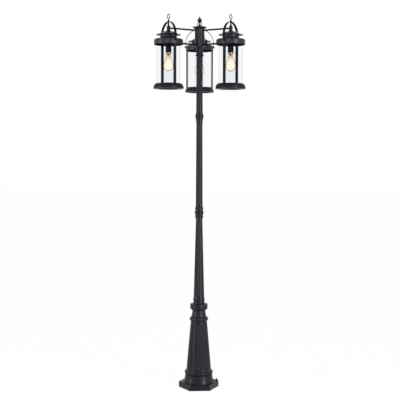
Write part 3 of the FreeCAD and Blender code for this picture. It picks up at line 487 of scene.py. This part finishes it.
def tube_tree():
    """Glass tube: a wall with fire rounded rims, led round a circle."""
    tree, size = new_tree("glass_tube", [
        ("Radius", "NodeSocketFloat"), ("Wall", "NodeSocketFloat"), ("Height", "NodeSocketFloat"),
        ("Rim", "NodeSocketFloat"), ("Segments", "NodeSocketInt"), ("Material", "NodeSocketMaterial")])
    path_radius = maths(tree, "SUBTRACT", size["Radius"], maths(tree, "MULTIPLY", size["Wall"], 0.5))
    path = add(tree, "GeometryNodeCurvePrimitiveCircle",
               links={"Resolution": size["Segments"], "Radius": path_radius})
    wall = add(tree, "GeometryNodeCurvePrimitiveQuadrilateral",
               links={"Width": size["Wall"], "Height": size["Height"]})
    rounded = add(tree, "GeometryNodeFilletCurve", {"Count": 4},
                  {"Curve": wall.outputs[0], "Radius": size["Rim"]}, mode="POLY")
    skin = add(tree, "GeometryNodeCurveToMesh",
               links={"Curve": path.outputs["Curve"], "Profile Curve": rounded.outputs[0]})
    end_tree(tree, skin.outputs[0], size["Material"])
    return tree


def cage_tree():
    """Filament wire that zigzags between a small circle at the top and a wider one at the foot."""
    tree, size = new_tree("cage_filament", [
        ("Top Radius", "NodeSocketFloat"), ("Foot Radius", "NodeSocketFloat"), ("Height", "NodeSocketFloat"),
        ("Strands", "NodeSocketInt"), ("Wire", "NodeSocketFloat"), ("Material", "NodeSocketMaterial")])
    count = maths(tree, "MULTIPLY", size["Strands"], 2.0)
    line = add(tree, "GeometryNodeMeshLine", links={"Count": count})
    index = add(tree, "GeometryNodeInputIndex").outputs[0]
    low = maths(tree, "MODULO", index, 2.0)
    angle = maths(tree, "MULTIPLY", maths(tree, "DIVIDE", index, count), math.tau)
    spread = maths(tree, "SUBTRACT", size["Foot Radius"], size["Top Radius"])
    radius = maths(tree, "ADD", size["Top Radius"], maths(tree, "MULTIPLY", spread, low))
    drop = maths(tree, "MULTIPLY", maths(tree, "MULTIPLY", size["Height"], low), -1.0)
    across = maths(tree, "MULTIPLY", radius, maths(tree, "COSINE", angle))
    along = maths(tree, "MULTIPLY", radius, maths(tree, "SINE", angle))
    spot = add(tree, "ShaderNodeCombineXYZ", links={"X": across, "Y": along, "Z": drop})
    bent = add(tree, "GeometryNodeSetPosition",
               links={"Geometry": line.outputs["Mesh"], "Position": spot.outputs[0]})
    curve = add(tree, "GeometryNodeMeshToCurve", links={"Mesh": bent.outputs[0]})
    wire = add(tree, "GeometryNodeCurvePrimitiveCircle", {"Resolution": 8}, {"Radius": size["Wire"]})
    skin = add(tree, "GeometryNodeCurveToMesh", {"Fill Caps": True},
               {"Curve": curve.outputs[0], "Profile Curve": wire.outputs["Curve"]})
    end_tree(tree, skin.outputs[0], size["Material"])
    return tree


def rib_tree():
    """Ribs that stand round a ring, each a small bar along the ring's axis."""
    tree, size = new_tree("ribs_round_a_ring", [
        ("Radius", "NodeSocketFloat"), ("Count", "NodeSocketInt"), ("Rib", "NodeSocketVector"),
        ("Material", "NodeSocketMaterial")])
    ring = add(tree, "GeometryNodeMeshCircle", links={"Vertices": size["Count"], "Radius": size["Radius"]})
    bar = add(tree, "GeometryNodeMeshCube", links={"Size": size["Rib"]})
    turn = maths(tree, "MULTIPLY", maths(tree, "DIVIDE", add(tree, "GeometryNodeInputIndex").outputs[0],
                                         size["Count"]), math.tau)
    spin = add(tree, "ShaderNodeCombineXYZ", links={"Z": turn})
    ribs = add(tree, "GeometryNodeInstanceOnPoints",
               links={"Points": ring.outputs["Mesh"], "Instance": bar.outputs["Mesh"],
                      "Rotation": spin.outputs[0]})
    end_tree(tree, ribs.outputs[0], size["Material"])
    return tree


# Settings that a user would change

def colour_setting(name, code, description):
    """Colour property whose default is an sRGB hex colour."""
    return FloatVectorProperty(name=name, default=srgb(code)[:3], subtype="COLOR", size=3, min=0.0, max=1.0,
                               description=description)


class LampPostColours(bpy.types.PropertyGroup):
    """Colours of the post's finishes."""

    casting_dark: colour_setting("Castings, dark", "#0b0d11", "Darker tone of the castings' powder coat")
    casting_light: colour_setting("Castings, light", "#13151e", "Lighter tone of the castings' powder coat")
    steel_dark: colour_setting("Steel, dark", "#101116", "Darker tone of the steel pieces' powder coat")
    steel_light: colour_setting("Steel, light", "#1b1d28", "Lighter tone of the steel pieces' powder coat")
    fastener: colour_setting("Fasteners", "#303237", "Lighter tone of the blackened nuts and studs")
    brass: colour_setting("Brass", "#d9b38d", "Colour of the bulbs' caps and the holders' lips")
    glass: colour_setting("Glass", "#fafbfb", "What the lantern glass leaves of the light through one wall")
    glow: colour_setting("Glow", "#fff8ee", "Colour of the light that fills the bulbs")
    filament: colour_setting("Filament", "#ffc45e", "Colour of the lit filament")


class LampPostSizes(bpy.types.PropertyGroup):
    """Sizes of the small pieces."""

    glass_wall: FloatProperty(name="Glass wall", default=3 * MM, unit="LENGTH", precision=5,
                              description="Wall of the lantern glass")
    glass_rim: FloatProperty(name="Glass rim", default=1.4 * MM, unit="LENGTH", precision=5,
                             description="Radius of the fire rounded rims")
    stud_stand: FloatProperty(name="Stud stand", default=53 * MM, unit="LENGTH", precision=5,
                              description="Height of the anchor studs' ends above the ground")
    stud_radius: FloatProperty(name="Stud radius", default=3.95 * MM, unit="LENGTH", precision=5,
                               description="Outer radius of the anchor studs' thread")
    stud_bearing: FloatProperty(name="Stud bearing", default=math.radians(4), unit="ROTATION",
                                description="Turn of the foot and its anchors about the post")
    rod_radius: FloatProperty(name="Lower arm radius", default=5.6 * MM, unit="LENGTH", precision=5,
                              description="Radius of the rods between the hub and the lanterns' rings")
    bar_width: FloatProperty(name="Bar width", default=17 * MM, unit="LENGTH", precision=5,
                             description="Width of the bars between the lanterns' rings")
    bar_thickness: FloatProperty(name="Bar thickness", default=10.5 * MM, unit="LENGTH", precision=5,
                                 description="Thickness of the bars between the lanterns' rings")
    bar_edge: FloatProperty(name="Bar edge", default=1.6 * MM, unit="LENGTH", precision=5,
                            description="Radius of the bars' rolled edges")
    strand_count: IntProperty(name="Filament strands", default=8, min=3,
                              description="Number of times that the filament goes down and up")
    rib_count: IntProperty(name="Lip ribs", default=40, min=8,
                           description="Number of ribs round the lip of a lamp holder")


class LampPostStage(bpy.types.PropertyGroup):
    """Floor, light and camera."""

    left_power: FloatProperty(name="Left softbox", default=60.0, unit="POWER",
                              description="Power of the tall softbox on the left")
    right_power: FloatProperty(name="Right softbox", default=102.0, unit="POWER",
                               description="Power of the tall softbox on the right")
    top_power: FloatProperty(name="Top softbox", default=14.0, unit="POWER",
                             description="Power of the wide softbox in front of the lanterns")
    fill: FloatProperty(name="Fill light", default=0.22, min=0.0,
                        description="Strength of the even light from all round")
    camera_distance: FloatProperty(name="Camera distance", default=5.61, unit="LENGTH",
                                   description="Distance from the post's axis to the camera")
    camera_height: FloatProperty(name="Camera height", default=1.58, unit="LENGTH",
                                 description="Height of the camera above the ground")
    camera_turn: FloatProperty(name="Camera turn", default=math.radians(-0.054), unit="ROTATION",
                               description="Turn of the camera about the post's direction")
    camera_tilt: FloatProperty(name="Camera tilt", default=math.radians(3.37), unit="ROTATION",
                               description="How far the camera looks down")
    camera_roll: FloatProperty(name="Camera roll", default=math.radians(0.16), unit="ROTATION",
                               description="Turn of the picture about the camera's line of sight")
    lens_mm: FloatProperty(name="Lens", default=76.5, min=1.0,
                           description="Focal length in mm, on a sensor 36 mm wide")


def finish(name):
    """A shared material by its short name."""
    return bpy.data.materials[FINISHES[name]]


def coat(material, *nodes):
    """Give frame nodes a material, in their own slot."""
    for node in nodes:
        frame["nodes"][node].material_slots[0].material = material


# Operators

class LAMPPOST_OT_materials(bpy.types.Operator):
    """Mix the shared finishes"""

    bl_idname = "lamppost.materials"
    bl_label = "Mix the finishes"

    def execute(self, context):
        colours = context.scene.lamppost_colours
        cast_aluminium(colours)
        ring_castings(colours)
        drawn_steel(colours)
        spun_steel(colours)
        blackened_fasteners(colours)
        zinc_steel()
        moulded_phenolic()
        moulded_nylon()
        spun_brass(colours)
        return {"FINISHED"}


class LAMPPOST_OT_castings(bpy.types.Operator):
    """Coat the castings of the foot, the pole, the hub and the lanterns"""

    bl_idname = "lamppost.castings"
    bl_label = "Finish the castings"

    def execute(self, context):
        coat(finish("casting"), *CASTINGS, *["roof_" + side for side in SIDES])
        coat(finish("dull casting"), *["base_ring_" + side for side in SIDES])
        return {"FINISHED"}


class LAMPPOST_OT_steelwork(bpy.types.Operator):
    """Coat the arms, rings, straps, legs and loops, and finish the fasteners and hidden parts"""

    bl_idname = "lamppost.steelwork"
    bl_label = "Finish the steelwork"

    def execute(self, context):
        coat(finish("steel"), "strap_knobs",
             *[f"{piece}_{side}" for piece in LANTERN_STEELWORK for side in SIDES])
        coat(finish("spun"), "hub_body", *["cap_ring_" + side for side in SIDES])
        coat(finish("fastener"), "anchor_nuts", "anchor_washers", "hub_set_screw")
        coat(finish("zinc"), "base_spigot", "joint_spigots")
        coat(finish("nylon"), "terminal_block")
        return {"FINISHED"}


class LAMPPOST_OT_anchor_studs(bpy.types.Operator):
    """Make the threaded ends of the footing's studs in the three nuts"""

    bl_idname = "lamppost.anchor_studs"
    bl_label = "Make the anchor studs"

    def execute(self, context):
        sizes = context.scene.lamppost_sizes
        mounts = {mount["name"]: mount for mount in frame["record"]["mounts"]}
        holes = mounts["anchor_holes"]["dims"]
        start = 20 * MM  # in the foot's holes, below the washers
        length = sizes.stud_stand - start
        stud = grow("anchor_stud", thread_tree(), {
            "Radius": sizes.stud_radius, "Length": length, "Pitch": 1.25 * MM, "Depth": 0.7 * MM,
            "Chamfer": 0.8 * MM, "Segments": 20, "Rings": 210, "Material": finish("fastener")})
        radius = holes["pcd_mm"] / 2 * MM
        spots = []
        for i in range(holes["count"]):
            bearing = sizes.stud_bearing + math.tau * i / holes["count"]
            spot = Vector((radius * math.cos(bearing), radius * math.sin(bearing), start + length / 2))
            spots.append((stud, Matrix.Translation(spot)))
        place_piece("anchor_studs", joined("anchor_studs", spots), finish("fastener"), "post")
        return {"FINISHED"}


class LAMPPOST_OT_lower_arms(bpy.types.Operator):
    """Make the rods between the hub and the lanterns' rings"""

    bl_idname = "lamppost.lower_arms"
    bl_label = "Make the lower arms"

    def execute(self, context):
        radius = context.scene.lamppost_sizes.rod_radius
        for side in SIDES:
            node = "lower_arm_" + side
            thing = frame["nodes"][node]
            out = lantern_axis(side).normalized()
            reach = [(thing.matrix_world @ vertex.co).dot(out) for vertex in thing.data.vertices]
            start, end = min(reach), max(reach)
            rod = turned("rod", [(0, start), (radius, start), (radius, end), (0, end)], 24)
            lean = out.to_track_quat("Z", "Y").to_matrix().to_4x4()
            rise = Matrix.Translation((0, 0, middle(node).z))
            piece = place_piece("lower_rod_" + side, rod, finish("steel"), "post", rise @ lean)
            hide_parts(node)
        return {"FINISHED"}


class LAMPPOST_OT_cage_bars(bpy.types.Operator):
    """Make the bars of the lanterns' cages with rolled edges"""

    bl_idname = "lamppost.cage_bars"
    bl_label = "Make the cage bars"

    def execute(self, context):
        sizes = context.scene.lamppost_sizes
        for side in SIDES:
            node = "cage_legs_" + side
            axis = lantern_axis(side)
            bars = [(self.bar(sizes, *place), Matrix.Translation(axis)) for place in self.bars_of(node, axis)]
            mesh = joined("cage_bars", bars)
            piece = place_piece("cage_bars_" + side, mesh, finish("steel"), "post")
            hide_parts(node)
        return {"FINISHED"}

    def bars_of(self, node, axis):
        """Direction, outer distance, foot and head of the node's two bars, seen from the lantern's axis."""
        thing = frame["nodes"][node]
        points = [thing.matrix_world @ vertex.co - axis for vertex in thing.data.vertices]
        first = max(points, key=lambda point: point.xy.length)
        for way in (1, -1):
            half = [p for p in points if p.xy.dot(first.xy) * way > 0]
            rough = sum((p.xy for p in half), Vector((0, 0))).normalized()
            across = rough.orthogonal()
            sway = (min(p.xy.dot(across) for p in half) + max(p.xy.dot(across) for p in half)) / 2
            reach = max(p.xy.dot(rough) for p in half)
            out = (rough * reach + across * sway).normalized()
            yield out, max(p.xy.dot(out) for p in half), min(p.z for p in half), max(p.z for p in half)

    def bar(self, sizes, out, reach, foot, head):
        """One bar: its broad side faces the axis, and its long edges are rolled round."""
        shape = bmesh.new()
        bmesh.ops.create_cube(shape, size=1.0)
        bmesh.ops.scale(shape, verts=shape.verts, vec=(sizes.bar_thickness, sizes.bar_width, head - foot))
        upright = [edge for edge in shape.edges if abs(edge.verts[0].co.z - edge.verts[1].co.z) > 0.01]
        bmesh.ops.bevel(shape, geom=upright, offset=sizes.bar_edge, segments=3, profile=0.5, affect="EDGES")
        mesh = bpy.data.meshes.new("cage_bar")
        shape.to_mesh(mesh)
        shape.free()
        turn = Matrix.Rotation(math.atan2(out.y, out.x), 4, "Z")
        mesh.transform(turn @ Matrix.Translation((reach - sizes.bar_thickness / 2, 0, (foot + head) / 2)))
        return mesh


class LAMPPOST_OT_lantern_glass(bpy.types.Operator):
    """Make the glass tubes with rounded rims"""

    bl_idname = "lamppost.lantern_glass"
    bl_label = "Make the lantern glass"

    def execute(self, context):
        sizes = context.scene.lamppost_sizes
        material = drawn_glass(context.scene.lamppost_colours)
        tree = tube_tree()
        for side in SIDES:
            node = "glass_" + side
            low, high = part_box(node)
            mesh = grow(node, tree, {
                "Radius": (high.x - low.x) / 2, "Wall": sizes.glass_wall, "Height": high.z - low.z,
                "Rim": sizes.glass_rim, "Segments": 96, "Material": material})
            for face in mesh.polygons:
                face.use_smooth = True
            tube = place_piece("lantern_tube_" + side, mesh, material, "post",
                               Matrix.Translation((low + high) / 2))
            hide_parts(node)
        return {"FINISHED"}


class LAMPPOST_OT_sockets(bpy.types.Operator):
    """Finish the lamp holders and make their ribbed brass lips"""

    bl_idname = "lamppost.sockets"
    bl_label = "Finish the lamp holders"

    def execute(self, context):
        sizes = context.scene.lamppost_sizes
        coat(finish("phenolic"), *["socket_" + side for side in SIDES])
        tree = rib_tree()
        for side in SIDES:
            low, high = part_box("socket_" + side)
            lip = (high.x - low.x) / 2
            band = turned("lip_band", [(lip - 0.6 * MM, 0.2 * MM), (lip + 0.2 * MM, 0.2 * MM),
                                       (lip + 0.5 * MM, 0.8 * MM), (lip + 0.5 * MM, 4.6 * MM),
                                       (lip + 0.2 * MM, 5.2 * MM), (lip - 0.6 * MM, 5.2 * MM)], 72)
            ribs = grow("lip_ribs", tree, {"Radius": lip + 0.5 * MM, "Count": sizes.rib_count,
                                           "Rib": (0.7 * MM, 1.2 * MM, 3.0 * MM),
                                           "Material": finish("brass")})
            band_middle = Matrix.Translation((0, 0, 2.7 * MM))
            mesh = joined("socket_lip", [(band, Matrix.Identity(4)), (ribs, band_middle)])
            place_piece("socket_lip_" + side, mesh, finish("brass"), "post",
                        Matrix.Translation(lantern_axis(side) + Vector((0, 0, low.z))))
        return {"FINISHED"}


class LAMPPOST_OT_bulb_caps(bpy.types.Operator):
    """Make the bulbs' threaded caps with their contacts"""

    bl_idname = "lamppost.bulb_caps"
    bl_label = "Make the bulb caps"

    def execute(self, context):
        tree = thread_tree()
        for side in SIDES:
            node = "bulb_cap_" + side
            low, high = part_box(node)
            radius = (high.x - low.x) / 2
            crown_height = 5 * MM
            length = high.z - low.z - crown_height
            shell = grow("cap_shell", tree, {
                "Radius": radius - 0.1 * MM, "Length": length, "Pitch": 3.6 * MM, "Depth": 1.3 * MM,
                "Chamfer": 0.6 * MM, "Segments": 48, "Rings": 60, "Material": finish("brass")})
            for face in shell.polygons:
                face.use_smooth = True
            crown = turned("cap_contact", [(0, length), (11.0 * MM, length), (10.4 * MM, length + 1.0 * MM),
                                           (5.6 * MM, length + 3.4 * MM), (5.0 * MM, length + 3.6 * MM),
                                           (4.2 * MM, length + 4.8 * MM), (0, length + crown_height)], 32)
            shell_middle = Matrix.Translation((0, 0, length / 2))
            mesh = joined(node, [(shell, shell_middle), (crown, Matrix.Identity(4))])
            cap = place_piece("bulb_base_" + side, mesh, finish("brass"), "bulb_" + side,
                              Matrix.Translation(lantern_axis(side) + Vector((0, 0, low.z))))
            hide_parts(node)
        return {"FINISHED"}


class LAMPPOST_OT_bulb_envelopes(bpy.types.Operator):
    """Make the pear shaped envelopes with their glass stems"""

    bl_idname = "lamppost.bulb_envelopes"
    bl_label = "Make the bulb glass"

    def execute(self, context):
        low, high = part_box("bulb_glass_left")
        material = blown_glass(context.scene.lamppost_colours, low.z, high.z)
        radius = (high.x - low.x) / 2 / MM
        height = (high.z - low.z) / MM
        wall = 0.9
        # (radius, height) in mm above the bulb's lowest point, from the foot up to the neck
        outer = smooth_curve([(0.0, 0.0), (9.0, 1.3), (19.0, 6.0), (27.5, 15.0), (radius, 32.0),
                              (radius - 1.6, 47.0), (25.5, 66.0), (19.2, 84.0), (15.6, 98.0),
                              (12.9, 110.0), (12.6, height)], 5)
        outer = [(max(0.0, r), z) for r, z in outer]
        inner = [(max(0.0, r - wall), z + wall * (1 - min(1.0, z / 30))) for r, z in outer]
        profile = [(r * MM, z * MM) for r, z in outer + inner[::-1]]
        stem = [(0, 62.0), (2.0, 62.6), (3.4, 66.0), (3.2, 84.0), (5.0, 96.0), (7.5, 108.0), (11.4, 114.0),
                (11.4, 116.0), (0, 116.0)]
        for side in SIDES:
            node = "bulb_glass_" + side
            envelope = turned(node, profile, 48)
            press = turned("stem", [(r * MM, z * MM) for r, z in stem], 24)
            mesh = joined(node, [(envelope, Matrix.Identity(4)), (press, Matrix.Identity(4))])
            for face in mesh.polygons:
                face.use_smooth = True
            bulb = place_piece("bulb_envelope_" + side, mesh, material, "bulb_" + side,
                               Matrix.Translation(lantern_axis(side) + Vector((0, 0, low.z))))
            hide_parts(node)
        return {"FINISHED"}


class LAMPPOST_OT_filaments(bpy.types.Operator):
    """Make the zigzag filaments"""

    bl_idname = "lamppost.filaments"
    bl_label = "Make the filaments"

    def execute(self, context):
        sizes = context.scene.lamppost_sizes
        material = lit_filament(context.scene.lamppost_colours)
        tree = cage_tree()
        for side in SIDES:
            node = "filament_" + side
            low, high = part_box(node)
            # A real filament is under 0.1 mm thick; here it is 0.9 mm, so that it shows.
            mesh = grow(node, tree, {
                "Top Radius": 6.5 * MM, "Foot Radius": 12.0 * MM, "Height": high.z - low.z - 5 * MM,
                "Strands": sizes.strand_count, "Wire": 0.45 * MM, "Material": material})
            wire = place_piece("filament_cage_" + side, mesh, material, "bulb_" + side,
                               Matrix.Translation(lantern_axis(side) + Vector((0, 0, high.z - 2.5 * MM))))
            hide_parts(node)
        return {"FINISHED"}


class LAMPPOST_OT_stage(bpy.types.Operator):
    """Set the floor, the softboxes and the camera"""

    bl_idname = "lamppost.stage"
    bl_label = "Set the stage"

    def execute(self, context):
        stage = context.scene.lamppost_stage
        self.lay_floor()
        self.light_world(stage.fill)
        for name, place in SOFTBOXES.items():
            self.hang_softbox("softbox_" + name, *place, getattr(stage, name + "_power"))
        self.place_camera(stage)
        return {"FINISHED"}

    def lay_floor(self):
        """A pale floor that reads as white and keeps a soft shadow."""
        shape = bmesh.new()
        bmesh.ops.create_grid(shape, x_segments=1, y_segments=1, size=FLOOR_HALF)
        mesh = bpy.data.meshes.new("floor")
        shape.to_mesh(mesh)
        shape.free()
        material, tree = blank_material("seamless_paper")
        share = maths(tree, "MULTIPLY", background_rays(tree), FLOOR_WHITE)
        paper = add(tree, "ShaderNodeBsdfDiffuse", {"Color": srgb("#fafafa")})
        white = add(tree, "ShaderNodeEmission", {"Color": srgb("#ffffff"), "Strength": 1.0})
        give(tree, mixed(tree, share, paper.outputs["BSDF"], white.outputs["Emission"]))
        plain_object("floor", mesh, material)

    def light_world(self, fill):
        """Even fill light, and plain white behind everything."""
        world = bpy.data.worlds.new("studio")
        bpy.context.scene.world = world
        world.use_nodes = True
        tree = world.node_tree
        tree.nodes.clear()
        strength = add(tree, "ShaderNodeMapRange", {"To Min": fill, "To Max": 1.0},
                       {"Value": background_rays(tree)})
        light = add(tree, "ShaderNodeBackground", {"Color": srgb("#ffffff")},
                    {"Strength": strength.outputs["Result"]})
        add(tree, "ShaderNodeOutputWorld", links={"Surface": light.outputs["Background"]})

    def hang_softbox(self, name, bearing, size, height, power):
        """Softbox at a bearing from the camera's side, turned to the post."""
        lamp = bpy.data.lights.new(name, "AREA")
        lamp.shape = "RECTANGLE"
        lamp.size, lamp.size_y = size
        lamp.energy = power
        lamp.color = srgb("#f4f7ff")[:3]
        box = bpy.data.objects.new(name, lamp)
        turn = math.radians(bearing)
        box.location = (SOFTBOX_DISTANCE * math.sin(turn), -SOFTBOX_DISTANCE * math.cos(turn), height)
        box.rotation_euler = (math.radians(90), 0, turn)
        box.visible_camera = False
        box.visible_transmission = False
        bpy.context.scene.collection.objects.link(box)

    def place_camera(self, stage):
        """Camera as the photograph was taken, a little turned and tilted."""
        lens = bpy.data.cameras.new("camera")
        lens.lens = stage.lens_mm
        lens.sensor_width = SENSOR_MM
        camera = bpy.data.objects.new("camera", lens)
        camera.matrix_world = (Matrix.Translation((0, -stage.camera_distance, stage.camera_height))
                               @ Matrix.Rotation(stage.camera_turn, 4, "Z")
                               @ Matrix.Rotation(math.pi / 2 - stage.camera_tilt, 4, "X")
                               @ Matrix.Rotation(stage.camera_roll, 4, "Z"))
        bpy.context.scene.collection.objects.link(camera)
        bpy.context.scene.camera = camera
        bpy.context.scene.view_settings.view_transform = "Standard"


OPERATORS = (
    LAMPPOST_OT_materials, LAMPPOST_OT_castings, LAMPPOST_OT_steelwork, LAMPPOST_OT_anchor_studs,
    LAMPPOST_OT_lower_arms, LAMPPOST_OT_cage_bars, LAMPPOST_OT_lantern_glass, LAMPPOST_OT_sockets,
    LAMPPOST_OT_bulb_caps, LAMPPOST_OT_bulb_envelopes, LAMPPOST_OT_filaments, LAMPPOST_OT_stage,
)


class LAMPPOST_PT_panel(bpy.types.Panel):
    """Steps that dress the lamp post"""

    bl_idname = "LAMPPOST_PT_panel"
    bl_label = "Lamp post"
    bl_space_type = "VIEW_3D"
    bl_region_type = "UI"
    bl_category = "Lamp post"

    def draw(self, context):
        for settings in GROUPS:
            group = getattr(context.scene, settings)
            box = self.layout.box()
            for name in group.bl_rna.properties.keys():
                if name not in ("rna_type", "name"):
                    box.prop(group, name)
        for operator in OPERATORS:
            self.layout.operator(operator.bl_idname)


GROUPS = {
    "lamppost_colours": LampPostColours,
    "lamppost_sizes": LampPostSizes,
    "lamppost_stage": LampPostStage,
}


def register():
    """Add the settings, the steps and the panel."""
    for name, group in GROUPS.items():
        bpy.utils.register_class(group)
        setattr(bpy.types.Scene, name, PointerProperty(type=group))
    for item in OPERATORS + (LAMPPOST_PT_panel,):
        bpy.utils.register_class(item)


def unregister():
    """Take the panel, the steps and the settings away."""
    for item in (LAMPPOST_PT_panel,) + OPERATORS[::-1]:
        bpy.utils.unregister_class(item)
    for name, group in GROUPS.items():
        delattr(bpy.types.Scene, name)
        bpy.utils.unregister_class(group)


def main():
    """Run every step in order."""
    register()
    bpy.ops.lamppost.materials()
    bpy.ops.lamppost.castings()
    bpy.ops.lamppost.steelwork()
    bpy.ops.lamppost.anchor_studs()
    bpy.ops.lamppost.lower_arms()
    bpy.ops.lamppost.cage_bars()
    bpy.ops.lamppost.lantern_glass()
    bpy.ops.lamppost.sockets()
    bpy.ops.lamppost.bulb_caps()
    bpy.ops.lamppost.bulb_envelopes()
    bpy.ops.lamppost.filaments()
    bpy.ops.lamppost.stage()


if __name__ == "__main__":
    main()
